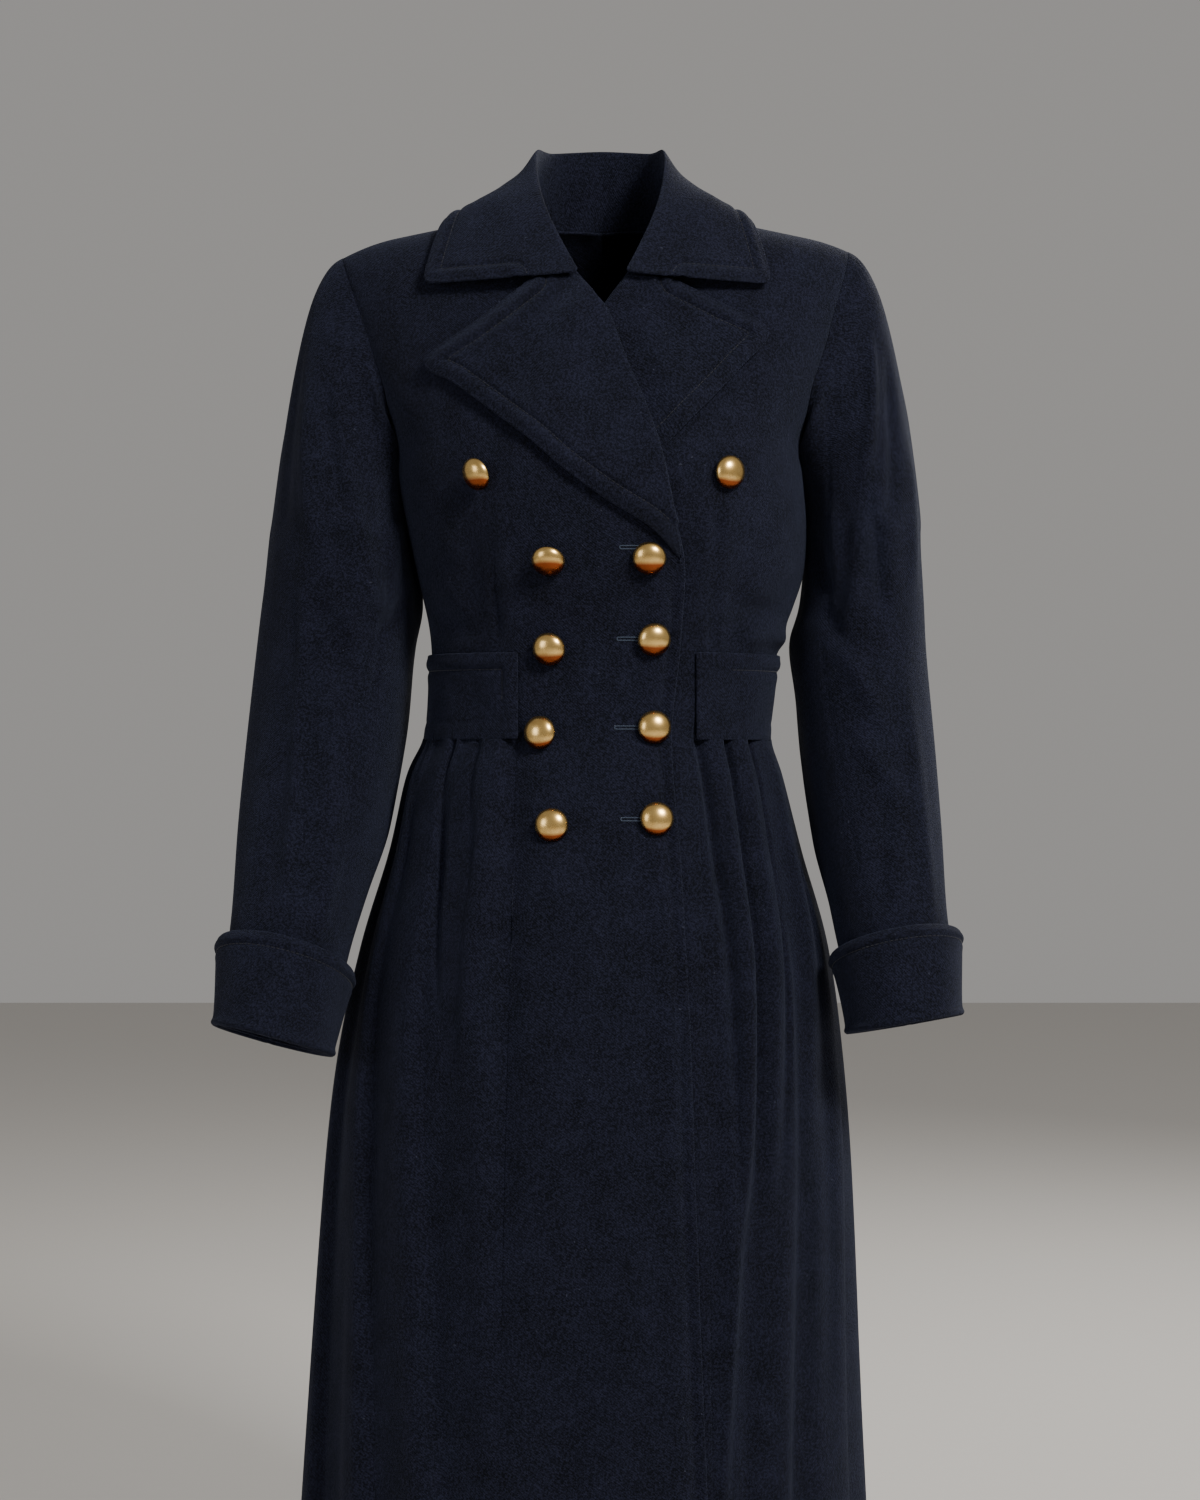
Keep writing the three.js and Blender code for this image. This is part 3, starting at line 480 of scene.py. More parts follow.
def wool(name, depth=1.0):
    """Milled wool. depth scales its colours, so that the inner face can be a shade duller."""
    paint = Paint(name)
    where = paint.node("ShaderNodeTexCoord", output=3)
    cloth = paint.node("ShaderNodeUVMap", {"uv_map": "cloth"})
    grain = paint.noise(where, 540.0, 3.0, 0.7)
    cloud = paint.noise(where, 38.0, 2.0, 0.5)
    fibre = paint.noise(where, 2100.0, 2.0, 0.6)
    weave = paint.node(
        "ShaderNodeTexWave",
        {"wave_type": "BANDS", "bands_direction": "DIAGONAL"},
        {"Vector": cloth, "Scale": 260.0, "Distortion": 2.5, "Detail": 1.0},
        output=1,
    )
    nap = grain.between(0.43, 0.60) * 0.78 + fibre.between(0.3, 0.7) * 0.22 + weave * 0.07
    shade = nap * 0.85 + cloud.between(0.25, 0.75) * 0.3 - 0.1
    deep = tuple(depth * c for c in NAVY_DEEP[:3]) + (1,)
    lit = tuple(depth * c for c in NAVY_LIT[:3]) + (1,)
    colour = paint.blend(shade, deep, lit)
    rub = paint.node("ShaderNodeAttribute", {"attribute_name": "rub"}, output=2)
    colour = paint.blend(rub * grain.between(0.35, 0.7) * 0.35, colour, NAVY_RUBBED)
    speck = paint.noise(where, 330.0, 0.0, 0.5).between(0.86, 0.9)
    colour = paint.blend(speck * 0.25, colour, LINT)
    height = grain * 0.6 + fibre * 0.25 + weave * 0.12
    bump = paint.node("ShaderNodeBump", {}, {"Height": height, "Strength": 1.0, "Distance": 0.0022})
    return paint.finish(
        Base_Color=colour,
        Roughness=0.93 - nap * 0.08,
        Normal=bump,
        Sheen_Weight=0.11,
        Sheen_Roughness=0.42,
        Sheen_Tint=(0.30, 0.36, 0.58, 1),
        Specular_IOR_Level=0.12,
    )


WOOL = wool("milled_wool")
print("wool material with", len(WOOL.node_tree.nodes), "nodes")

# %% [markdown]
# ## Brass, and the two threads
#
# The buttons are pressed from brass and polished, so they mirror the room, but handling leaves a faint
# haze and fine scratches. The topstitching is sewn in the cloth's own navy, and the buttonholes in a
# dustier blue.


# %% Brass and thread
def brass():
    """Polished brass: a warm metal whose gloss and colour vary a little with haze. Where its surface faces
    downwards it is painted a dark red-brown: a painted reflection of a brown ground below the dome."""
    paint = Paint("polished_brass")
    where = paint.node("ShaderNodeTexCoord", output=3)
    haze = paint.noise(where, 160.0, 4.0, 0.6)
    scratch = paint.noise(where, 900.0, 2.0, 0.7)
    tone = paint.blend(haze.between(0.3, 0.75), (0.88, 0.60, 0.22, 1), (0.66, 0.41, 0.13, 1))
    # Painted reflection: where the surface's normal points down, the brass is painted a dark red-brown.
    upright = paint.node("ShaderNodeTexCoord", output=1)
    height = paint.node("ShaderNodeSeparateXYZ", {}, {0: upright}, output=2)
    tone = paint.blend(height.between(-0.30, -0.48), tone, (0.30, 0.07, 0.018, 1))
    bump = paint.node("ShaderNodeBump", {}, {"Height": scratch, "Strength": 0.12, "Distance": 0.0002})
    return paint.finish(
        Base_Color=tone,
        Metallic=1.0,
        Roughness=0.20 + haze * 0.14,
        Normal=bump,
    )


def thread(name, deep, lit):
    """Twisted thread: fine slanting bands of two tones."""
    paint = Paint(name)
    where = paint.node("ShaderNodeTexCoord", output=3)
    twist = paint.node(
        "ShaderNodeTexWave",
        {"wave_type": "BANDS", "bands_direction": "DIAGONAL"},
        {"Vector": where, "Scale": 900.0, "Distortion": 1.5},
        output=1,
    )
    colour = paint.blend(twist * 0.8, deep, lit)
    return paint.finish(Base_Color=colour, Roughness=0.7, Sheen_Weight=0.2, Specular_IOR_Level=0.3)


BRASS = brass()
TOPSTITCH = thread("navy_thread", (0.0018, 0.0024, 0.0055, 1), (0.0070, 0.0082, 0.0190, 1))
BLUE_THREAD = thread("blue_thread", (0.010, 0.018, 0.036, 1), (0.030, 0.050, 0.088, 1))
print("brass and threads are ready")


# %% [markdown]
# ## Stitches
#
# A row of topstitching follows the pressed groove near an edge. The groove lies where a distance from the
# edge has one value, so its line is found on the piece's own grid: every grid edge that the value crosses
# gives a point, and the points of a cell are joined. Along the line, each stitch is a small capsule of
# thread, half sunk in the cloth.

# %% Lines and stitches
STITCH_STEP = 4.2
STITCH_LENGTH = 3.1
STITCH_RADIUS = 0.38
STITCH_SIDES = 5
STITCH_SECTION = np.array([[0.0, 0.45], [0.15, 0.9], [0.5, 1.0], [0.85, 0.9], [1.0, 0.45]])


def level_lines(grid, field, keep):
    """Lines along which a field over a grid is 0, as rows of the grid's own values."""
    above = field > 0
    mixed = (above[:-1, :-1] != above[1:, :-1]) | (above[:-1, 1:] != above[1:, 1:])
    mixed |= (above[:-1, :-1] != above[:-1, 1:]) | (above[1:, :-1] != above[1:, 1:])
    mixed &= keep[:-1, :-1] & keep[1:, 1:]
    found, joins = {}, {}
    for i, j in np.argwhere(mixed).tolist():
        corners = [(i, j), (i, j + 1), (i + 1, j + 1), (i + 1, j)]
        hits = []
        for one, two in zip(corners, corners[1:] + corners[:1]):
            if above[one] != above[two]:
                a, b = min(one, two), max(one, two)
                found[a, b] = mix(grid[a], grid[b], field[a] / (field[a] - field[b]))
                hits.append((a, b))
        if len(hits) == 2:
            joins.setdefault(hits[0], []).append(hits[1])
            joins.setdefault(hits[1], []).append(hits[0])
    lines = []
    while joins:
        here = next((key for key, near in joins.items() if len(near) == 1), next(iter(joins)))
        line = [here]
        while here is not None:
            near = joins.pop(here)
            here = next((key for key in near if key in joins), None)
            if here is not None:
                line.append(here)
        lines.append(np.array([found[key] for key in line]))
    return lines


def stitch_row(line):
    """The vertices and faces of the stitches along one line of points and normals."""
    steps = np.linalg.norm(np.diff(line[:, :3], axis=0), axis=-1)
    along = np.concatenate([[0], np.cumsum(steps)])
    starts = np.arange(STITCH_STEP / 2, along[-1] - STITCH_LENGTH, STITCH_STEP)
    where = starts[:, None] + STITCH_SECTION[None, :, 0] * STITCH_LENGTH
    at = np.stack([np.interp(where, along, line[:, k]) for k in range(6)], axis=-1)
    middle, up = at[..., :3], unit(at[..., 3:])
    ahead = unit(middle[:, -1:] - middle[:, :1])
    aside = np.cross(ahead, up)
    turn = (2 * np.pi * np.arange(STITCH_SIDES) / STITCH_SIDES)[:, None]
    spoke = np.cos(turn) * aside[:, :, None] + np.sin(turn) * up[:, :, None]
    radius = STITCH_RADIUS * STITCH_SECTION[None, :, 1, None, None]
    rings = middle[:, :, None] + spoke * radius
    number = np.arange(rings[..., 0].size).reshape(rings.shape[:3])
    after = np.roll(number, -1, axis=2)
    sides = np.stack([number[:, :-1], number[:, 1:], after[:, 1:], after[:, :-1]], axis=-1)
    return rings.reshape(-1, 3), sides.reshape(-1, 4), number[:, 0, ::-1], number[:, -1]


def make_stitches(name, points, normals, field, keep):
    """All the stitches of a piece of cloth in one mesh."""
    vertices, faces, count = [], [], 0
    for line in level_lines(np.concatenate([points, normals], axis=-1), field, keep):
        if len(line) < 4:
            continue
        rings, sides, first, last = stitch_row(line)
        vertices.append(rings)
        faces += (sides + count).tolist() + (first + count).tolist() + (last + count).tolist()
        count += len(rings)
    mesh = bpy.data.meshes.new(name)
    mesh.from_pydata(np.concatenate(vertices) * MM, [], faces)
    return sewing(name, mesh, TOPSTITCH)


def sewing(name, mesh, material):
    """An object of thread that rides on the coat."""
    thread_piece = finish_mesh(name, mesh, material)
    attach(thread_piece, "root")
    return thread_piece


print("a stitch is", STITCH_LENGTH, "mm long")

# %% [markdown]
# ## Building one piece of cloth
#
# Each piece goes the same way: the smooth surface first, then its relief moves the points along their
# normals, then the wall gives it thickness. The piece rides on the coat's one body and replaces its plain
# solid, and its flat size is worked out and printed. The flat area is measured on the smooth surface,
# before any relief.

# %% One piece of cloth
THICK = 2.5
# How far a turned edge's rim stands out, and that of a panel at its seams.
EDGE_BULGE = 1.3
PANEL_BULGE = 0.4


def cloth(name, points, relief=0.0, thick=THICK, keep=None, closed=False, bulge=None, nodes=None,
          sewn=None, extras=()):
    """Makes a piece of cloth from a grid of points and a height to raise them by. sewn is a field that is 0
    along its topstitching, with the part of the grid to keep. extras are separate pieces of thread on it;
    they are not used here."""
    smooth_points = points
    relief = np.broadcast_to(relief, points.shape[:2])
    points = points + outward_normals(points, closed) * relief[..., None]
    outward = outward_normals(points, closed)
    vertices, faces, source = wall(points, outward, thick, keep, closed, bulge)
    across, down = grid_lengths(points, closed)
    maps = np.stack([across.ravel(), down.ravel()], axis=-1)[source]
    rub = np.zeros(len(vertices))
    grid = points.shape[0] * points.shape[1]
    rub[2 * grid:] = 1.0
    piece = make_object(name, vertices, faces, WOOL, maps, rub)
    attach(piece, "root")
    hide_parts(*(nodes or [name]))
    area, flat = flat_size(smooth_points, keep, closed)
    threads = list(extras)
    if sewn is not None:
        threads.append(make_stitches(f"stitches_{name}", points, outward, *sewn))
    print(f"{name}: {len(faces)} faces, flat {flat[0]:.2f} by {flat[1]:.2f} m, {area:.3f} square m")
    return piece


def outward_normals(points, closed):
    """Square to a grid, away from the middle of a ring, or away from the coat's upright axis."""
    normals = grid_normals(points, closed)
    middle = points.mean(axis=1, keepdims=True) if closed else points * np.array([0.0, 0.0, 1.0])
    return normals * np.sign(((points - middle) * normals).sum())


def flat_size(points, keep, closed):
    """The cut's area, and a width and length that just hold it, in metres."""
    ring = np.concatenate([points, points[:, :1]], axis=1) if closed else points
    one = np.cross(ring[1:, :-1] - ring[:-1, :-1], ring[:-1, 1:] - ring[:-1, :-1])
    two = np.cross(ring[1:, 1:] - ring[1:, :-1], ring[1:, 1:] - ring[:-1, 1:])
    cells = (np.linalg.norm(one, axis=-1) + np.linalg.norm(two, axis=-1)) / 2
    used = np.ones(cells.shape, bool) if keep is None else keep
    area = float((cells * used).sum()) * MM * MM
    length = float(np.linalg.norm(np.diff(ring, axis=0), axis=-1).sum(axis=0).max()) * MM
    widths = np.linalg.norm(np.diff(ring, axis=1), axis=-1)
    width = float((widths[:-1] * used).sum(axis=1).max()) * MM
    return min(area, width * length), (width, length)


print("ready to cut cloth")

# %% [markdown]
# ## The skirt's pleats
#
# Below the waist the cloth falls in soft pleats. Each is a ridge with a slow side and a sharp side, given
# in the table: where its crest runs at the waist and at the hem in degrees round the body, how wide
# it is at both, and how far it stands out at the waist, half way down and at the hem.

# %% Table of pleats
FOLDS = np.array([
    # from, to, wide, wide at the hem, top, middle, hem
    [-27, -13, 9, 6, 5, 9, 10],
    [-39, -24, 7, 5, 3, 1, 1],
    [-53, -31, 8, 7, 5, 11, 13],
    [-71, -49, 9, 8, 4, 10, 14],
    [-88, -70, 9, 9, 4, 8, 12],
    [40, 21, 6, 5, 5, 8, 9],
    [53, 38, 7, 6, 5, 4, 5],
    [73, 58, 9, 12, 4, 11, 15],
    [88, 80, 8, 8, 4, 8, 11],
    [106, 104, 8, 8, 4, 9, 13],
    [124, 121, 8, 7, 5, 10, 12],
    [141, 140, 8, 8, 5, 8, 14],
    [159, 160, 8, 7, 5, 10, 11],
    [199, 200, 8, 8, 5, 9, 13],
    [217, 219, 8, 7, 5, 10, 12],
    [235, 238, 8, 8, 5, 8, 14],
    [253, 257, 8, 8, 4, 9, 12],
], float)


def fold_height(angle, level):
    """The pleats over the body's surface: a slow rise to each crest and a quick fall past it."""
    degrees = (np.degrees(angle) + 450) % 360 - 90
    fall = (WAIST_SEAM - level) / (WAIST_SEAM - BODY[-1, LEVEL])
    height = np.zeros(np.shape(degrees))
    for begin, end, wide, wide_hem, top, middle, hem in FOLDS:
        turn = mix(begin, end, smooth(-0.1, 1, fall))
        width = mix(wide, wide_hem, fall)
        size = mix(mix(top, middle, smooth(0, 0.5, fall)), hem, smooth(0.5, 1, fall))
        t = (degrees - turn) / width
        height += size * smooth(-1.5, 0.1, t) * (1 - smooth(0.2, 0.75, t))
    return height


# Creases below the waist, each from a place to a place: degrees round the body, level, degrees, level, then
# width and height. The first table's are pressed in at the waist seam, and the second's are soft.
PLEAT_LINES = [
    (-53, -425, -35, -700, 4.4, -6.4), (-41, -425, -33, -560, 4, -2.4), (-72, -425, -58, -600, 7, -2.4),
    (32, -425, 29, -900, 4.4, -6.2), (45, -425, 34, -850, 4.2, -6.0), (60, -425, 42, -820, 4.4, -5.6),
    (80, -425, 62, -700, 5, -4.0), (104, -425, 104, -700, 5, -6.0), (119, -425, 117, -760, 5, -6.0),
    (136, -425, 135, -720, 5, -5.5), (153, -425, 152, -780, 5, -6.0), (171, -425, 172, -680, 5, -4.5),
    (188, -425, 188, -700, 5, -5.0), (207, -425, 208, -760, 5, -6.0), (225, -425, 227, -720, 5, -5.5),
    (242, -425, 245, -780, 5, -6.0), (259, -425, 262, -700, 5, -5.0),
]
SOFT_FOLDS = [
    (-34, -430, -26, -760, 10, 5.4), (-46, -430, -41, -640, 8, 1.6), (-66, -430, -52, -740, 22, 4.4),
    (-84, -430, -68, -760, 12, -3.5), (-34, -640, -30, -1180, 9, -3.4), (-48, -700, -42, -1260, 14, 2.6),
    (-62, -760, -54, -1260, 12, -2.6), (-21, -700, -17, -1260, 12, 2.0),
    (38.5, -430, 32, -860, 6, 3.2), (52, -430, 38, -860, 7, 3.2), (74, -430, 50, -840, 11, 3.6),
    (34, -780, 28, -1260, 9, -2.6), (44, -760, 38, -1260, 12, 2.2), (58, -720, 48, -1260, 14, 2.6),
    (66, -620, 54, -1060, 10, -2.6), (80, -520, 70, -900, 12, 1.8), (98, -480, 96, -800, 12, 1.6),
    (114, -560, 112, -1100, 14, -1.6), (132, -470, 130, -900, 12, 1.8), (150, -620, 149, -1221, 14, 1.8),
    (170, -480, 170, -900, 12, 1.4), (192, -470, 190, -860, 12, 1.4), (210, -600, 211, -1221, 14, 1.8),
    (228, -470, 230, -900, 12, -1.6), (246, -560, 249, -1100, 14, 1.6), (262, -480, 265, -820, 12, 1.6),
]
# A degree round the body is counted as so many millimetres.
DEGREE = 3.0
# The creases of the skirt fade out over this height above the waist seam.
WAIST_FADE = 26.0


def below_waist(z):
    """1 below the waist seam and 0 above its fade."""
    return 1 - smooth(WAIST_SEAM, WAIST_SEAM + WAIST_FADE, z)


def skirt_relief(angle, z):
    """The creases below the waist, over the pleats."""
    degrees = ((np.degrees(angle) + 450) % 360 - 90) * DEGREE
    lines, folds = [
        [(a * DEGREE, b, c * DEGREE, d, wide, high) for a, b, c, d, wide, high in table]
        for table in (PLEAT_LINES, SOFT_FOLDS)
    ]
    return creases(degrees, z, lines, held=True) + creases(degrees, z, folds)


# How deep the cloth dips to the seam beside a front's strip, how wide the dip is, and the levels between
# which it fades towards the hem.
SEAM_DIP = {"right": 5.0, "left": 1.0}
DIP_WIDTH = 10.0
DIP_ENDS = (-1150.0, -600.0)


def seam_dip(side, away, z):
    """A soft dip to the strip's seam, from the waist down."""
    below = below_waist(z) * smooth(*DIP_ENDS, z)
    return -SEAM_DIP[side] * np.exp(-((away / DIP_WIDTH) ** 2)) * below


# %% [markdown]
# ## The edges of the fronts
#
# A front's free edge runs down the neckline, along the roll of the lapel, then straight to the hem. Reach
# is measured from the middle towards the front's own side, so it is negative past the middle. The right
# front laps over the left, so it must stand off the body by one layer, and by two where the left lapel
# lies between them.

# %% Edges and the lap
FRONT_EDGE = np.array([
    # level, reach
    [17, 65], [-20, 44], [-52, 23], [-88, -2], [-134, -19], [-184, -40], [-243, -54], [-293, -66],
    [-367, -63], [-442, -56], [-543, -63], [-674, -70], [-859, -76], [-1221, -88],
], float)
BACK_NECKLINE = np.array([[17, 65], [13, 57], [6, 36], [2, 0]], float)
UNDERLAP = 58.0
GAP = 0.3
LAYER = THICK + GAP
LAP_EASE = 0.6
# From the left front's edge, the right one comes up over it between these distances. The left lapel comes
# in under the lap between these levels.
LAP_RISE = (-50.0, -16.0)
LAPEL_UNDER = (-335.0, -298.0)
STRIP_LINE = {"right": (71, 84), "left": (78, 90)}
SIDES = {"right": -1, "left": 1}


def edge_reach(sign, level):
    """How far the free edge of a front is from the middle, towards its own side."""
    reach = read_at_level(FRONT_EDGE, level)
    return np.maximum(reach, -UNDERLAP) if sign > 0 else reach


def front_offset(sign, x, level):
    """How far a front stands off the body: the right one comes up over the left one's edge."""
    if sign > 0:
        return np.zeros(np.broadcast(x, level).shape)
    past = x - edge_reach(1, level)
    layers = 1 + smooth(*LAPEL_UNDER, level)
    return layers * (LAYER + LAP_EASE) * smooth(*LAP_RISE, past)


def on_front(x, z, lift=0.0):
    """The coat's face as it shows: the lapped front up to its edge, and else the one under it."""
    place = place_at(x, z)
    sign = np.where(x < -edge_reach(-1, z), -1, 1)
    offset = np.where(sign < 0, front_offset(-1, x, z), 0.0)
    return on_body(angle_at(x, place), place, offset + lift)


def strip_angle(side, place):
    """The seam between a front's long strip and the skirt beside it."""
    waist, hem = STRIP_LINE[side]
    fall = np.maximum(0, (place - WAIST_ROW) / (HEM_ROW - WAIST_ROW))
    return angle_at(SIDES[side] * mix(waist, hem, fall), place)


def edge_angle(side, place):
    """The angle of a front's free edge at a row."""
    level = body_row(place)[..., LEVEL]
    return angle_at(SIDES[side] * edge_reach(SIDES[side], level), place)


def outer_angle(side, place):
    """The seam beside the sleeve, then the side seam."""
    row = body_row(place)
    share = np.where(place >= UNDERARM_ROW, 1.0, np.minimum(1, row[..., ARM]))
    return SIDES[side] * (np.arcsin(share ** (row[..., POWER] / 2)) - GAP / 2 / row[..., LEFT])


print("reach of the right edge at the hem:", edge_reach(-1, np.array([-1221.0]))[0], "mm")

# %% [markdown]
# ## The fronts
#
# Each front is one long piece from the shoulder to the hem beside the buttons, with a side part that ends
# at the waist seam. The right one laps over. Real fronts have darts that take in the cloth under the
# chest. They show as a fine groove with a slight pucker, so they are pressed into the surface here. The
# right front has the worked buttonholes.

# %% Drawing on the fronts
STITCH_IN = 13.0
GROOVE = 1.25
GROOVE_WIDTH = 1.7
# The puff beside a groove: how far off and how wide, counted in the groove's width, and its share of the
# groove's depth.
PUFF_AWAY, PUFF_WIDTH, PUFF_SHARE = 3.4, 2.4, 0.4
# The swell of a turned edge, and the distances from the edge over which it rises and falls again.
RIM_SWELL = 1.3
RIM_RISE = (0, 6)
RIM_FALL = (8, 15)
# A dart's groove (width and depth), and where it fades: from below its upper end to above it. Then its
# pucker: the height, the distance from the groove, the width, and the levels over which it grows.
DART_GROOVE = (1.4, 2.2)
DART_FADE = (-26, 4)
PUCKER, PUCKER_AWAY, PUCKER_WIDTH = 1.6, 9, 6
PUCKER_LEVELS = (-390, -300)
DARTS = {
    "right": np.array([[-95, -238], [-90, -280], [-87, -325], [-84, -352], [-83, -372]], float),
    "left": np.array([[98, -235], [93.5, -290], [91, -341], [93, -368]], float),
}


def groove(distance, width=GROOVE_WIDTH, deep=GROOVE):
    """A pressed line: a narrow trough with the cloth puffed up a little on both sides."""
    trough = np.exp(-((distance / width) ** 2))
    puff = np.exp(-(((distance - PUFF_AWAY * width) / (PUFF_WIDTH * width)) ** 2))
    return deep * (PUFF_SHARE * puff - trough)


def rolled_rim(distance):
    """The swell of a thick turned edge: two layers and their seam allowance under the topstitching."""
    return RIM_SWELL * smooth(*RIM_RISE, distance) * (1 - smooth(*RIM_FALL, distance))


def dart(side, x, z):
    """The relief of a dart: a groove that fades at its upper end, and a soft pucker beside it."""
    path = DARTS[side]
    away = distance_to(np.stack([x, z], axis=-1), path)
    fade = 1 - smooth(path[0, 1] + DART_FADE[0], path[0, 1] + DART_FADE[1], z)
    pucker = PUCKER * np.exp(-(((away - PUCKER_AWAY) / PUCKER_WIDTH) ** 2)) * smooth(*PUCKER_LEVELS, z)
    return (groove(away, *DART_GROOVE) + pucker) * fade


# Creases of the fronts, as places on the coat seen from the front: across, level, across, level, width,
# height. A negative height is a trough.
FRONT_CREASES = {
    "right": [
        (-143, -300, -108, -340, 9, 2.2), (-146, -330, -100, -358, 7, -1.8),
        (-140, -262, -112, -300, 10, 1.6), (-120, -208, -150, -250, 12, -1.5),
        (-64, -318, -76, -352, 6, 0.9), (-25, -330, 10, -345, 9, 0.8), (-140, -372, -96, -352, 6, 1.5),
        (-10, -392, 26, -404, 10, 0.8), (-30, -470, 14, -462, 12, 0.9), (-58, -455, -30, -600, 14, 1.8),
        (-20, -540, -6, -760, 18, 1.5), (30, -520, 46, -760, 15, -2.0), (58, -520, 64, -800, 9, 1.6),
        (-50, -640, -46, -960, 22, 2.4), (10, -760, 20, -1221, 26, 2.2),
        (-30, -900, -22, -1221, 20, -2.0), (50, -860, 60, -1221, 18, 1.8),
        (-100, -120, -150, -160, 14, 1.2),
    ],
    "left": [
        (166, -290, 110, -322, 9, 2.6), (164, -318, 104, -340, 7, -2.4), (160, -338, 108, -352, 6, 2.2),
        (158, -262, 118, -306, 10, 1.8), (150, -230, 128, -300, 11, -1.4), (78, -300, 70, -350, 8, 1.0),
        (150, -372, 100, -352, 7, 1.4), (84, -470, 80, -700, 12, 1.4), (150, -180, 118, -216, 14, 1.4),
        (86, -800, 92, -1150, 10, 1.6), (164, -352, 112, -356, 8, 6.0), (166, -330, 120, -316, 9, 2.6),
    ],
}
# The lapped edge is turned over a thick allowance, so the cloth dips softly behind it, then swells. This
# fades between two levels, up to the break of the lapel.
LAPPED_EDGE = [
    # distance behind the edge, width, height
    (7.0, 4.2, -2.6), (20.0, 9.0, 1.0),
]
BREAK_FADE = (-330.0, -285.0)
# A column this share of the strip from its seam keeps the shading flat up to it.
HOLD = 0.003
STRIP_COLUMNS = 62
SIDE_COLUMNS = 30
ROWS_ABOVE = 140
ROWS_BELOW = 120
# The strip's columns crowd towards the free edge by this power. The panels begin this share of a row past
# the shoulder seam. The skirt begins, and the waistband ends, this share of a row clear of the waist seam.
STRIP_CROWDING = 1.15
SHOULDER_CLEAR = 0.0025
WAIST_CLEAR = 0.01

# Buttonholes of the lapped front: where the worked end is, and the level.
BUTTONHOLES = [(14, -281), (12, -357), (10, -432), (15, -508)]
HOLE_LENGTH = 21.0
HOLE_HALF = 1.3
PURL_RADIUS = 0.55
PURL_SIDES = 8


def make_buttonholes():
    """Each buttonhole is a narrow loop of close purl stitches, a tube that swells at every stitch."""
    vertices, faces, count = [], [], 0
    bend = np.linspace(np.pi / 2, 3 * np.pi / 2, 13)
    run = np.linspace(HOLE_LENGTH, HOLE_HALF, 60)
    loop_x = np.concatenate([run, HOLE_HALF + HOLE_HALF * np.cos(bend[1:-1]), run[::-1]])
    loop_z = np.concatenate([np.full(60, HOLE_HALF), HOLE_HALF * np.sin(bend[1:-1]), np.full(60, -HOLE_HALF)])
    swell = PURL_RADIUS * (1 + 0.18 * np.cos(np.arange(len(loop_x)) * np.pi / 1.5))
    swell[[0, -1]] = 0.05
    for left, level in BUTTONHOLES:
        x, z = left + loop_x, level + loop_z
        lift = creases(x, z, FRONT_CREASES["right"])
        middle = on_front(x, z, lift + 0.15)
        up = unit(on_front(x, z, lift + 1.0) - middle)
        aside = np.cross(unit(np.gradient(middle, axis=0)), up)
        turn = 2 * np.pi * np.arange(PURL_SIDES) / PURL_SIDES
        spoke = np.cos(turn)[:, None] * aside[:, None] + np.sin(turn)[:, None] * up[:, None]
        rings = middle[:, None] + spoke * swell[:, None, None]
        number = np.arange(rings[..., 0].size).reshape(rings.shape[:2]) + count
        after = np.roll(number, -1, axis=1)
        sides = np.stack([number[:-1], number[1:], after[1:], after[:-1]], axis=-1)
        faces += sides.reshape(-1, 4).tolist() + [number[0, ::-1].tolist(), number[-1].tolist()]
        vertices.append(rings.reshape(-1, 3))
        count += number.size
    mesh = bpy.data.meshes.new("buttonholes")
    mesh.from_pydata(np.concatenate(vertices) * MM, [], faces)
    return sewing("buttonholes", mesh, BLUE_THREAD)


def make_front(side, extras=()):
    """A front: columns from its free edge to the strip's line, then on to the side seam above the waist."""
    sign = SIDES[side]
    above = np.linspace(SHOULDER_CLEAR, WAIST_ROW, ROWS_ABOVE + 1)
    below = np.linspace(WAIST_ROW, HEM_ROW, ROWS_BELOW + 1)[1:]
    place = np.concatenate([above, below])[:, None]
    line = strip_angle(side, place)
    edge = edge_angle(side, place)
    outer = outer_angle(side, place)
    u = np.append(np.linspace(0, 1, STRIP_COLUMNS)[:-1] ** STRIP_CROWDING, [1 - HOLD, 1])
    strip = mix(edge, line, u[None, :])
    beside = mix(line, outer, np.linspace(0, 1, SIDE_COLUMNS + 1)[None, 1:])
    angle = np.concatenate([strip, beside], axis=1)
    place = np.broadcast_to(place, angle.shape)
    flat = body_point(angle, place)
    x, z = flat[..., 0], flat[..., 2]
    points = on_body(angle, place, front_offset(sign, x, z))
    level = body_row(place)[..., LEVEL]
    inside = sign * x - edge_reach(sign, level)
    relief = dart(side, x, z) + creases(x, z, FRONT_CREASES[side])
    from_line = x - body_point(line, place)[..., 0]
    relief = relief + skirt_relief(angle, z) * below_waist(z)
    relief = relief + seam_dip(side, from_line, z)
    if sign < 0:
        form = sum(high * np.exp(-(((inside - far) / wide) ** 2)) for far, wide, high in LAPPED_EDGE)
        relief = relief + form * (1 - smooth(*BREAK_FADE, level))
    keep = np.ones((angle.shape[0] - 1, angle.shape[1] - 1), bool)
    keep[ROWS_ABOVE:, STRIP_COLUMNS:] = False
    bulge = np.full(angle.shape, PANEL_BULGE)
    bulge[:, 0] = EDGE_BULGE
    bulge[-1] = EDGE_BULGE
    bulge[ROWS_ABOVE + 1:-1, STRIP_COLUMNS] = 0.0
    return cloth(f"front_{side}", points, relief, keep=keep, bulge=bulge, extras=extras)


make_front("right", extras=[make_buttonholes()])
make_front("left")

# %% [markdown]
# ## The back of the bodice and the skirt
#
# The back is cut in two halves, joined down the middle. The skirt hangs from the waist seam in four
# quarters. Their pleats begin softly beside the fronts' strips, where the cloth is still held flat.

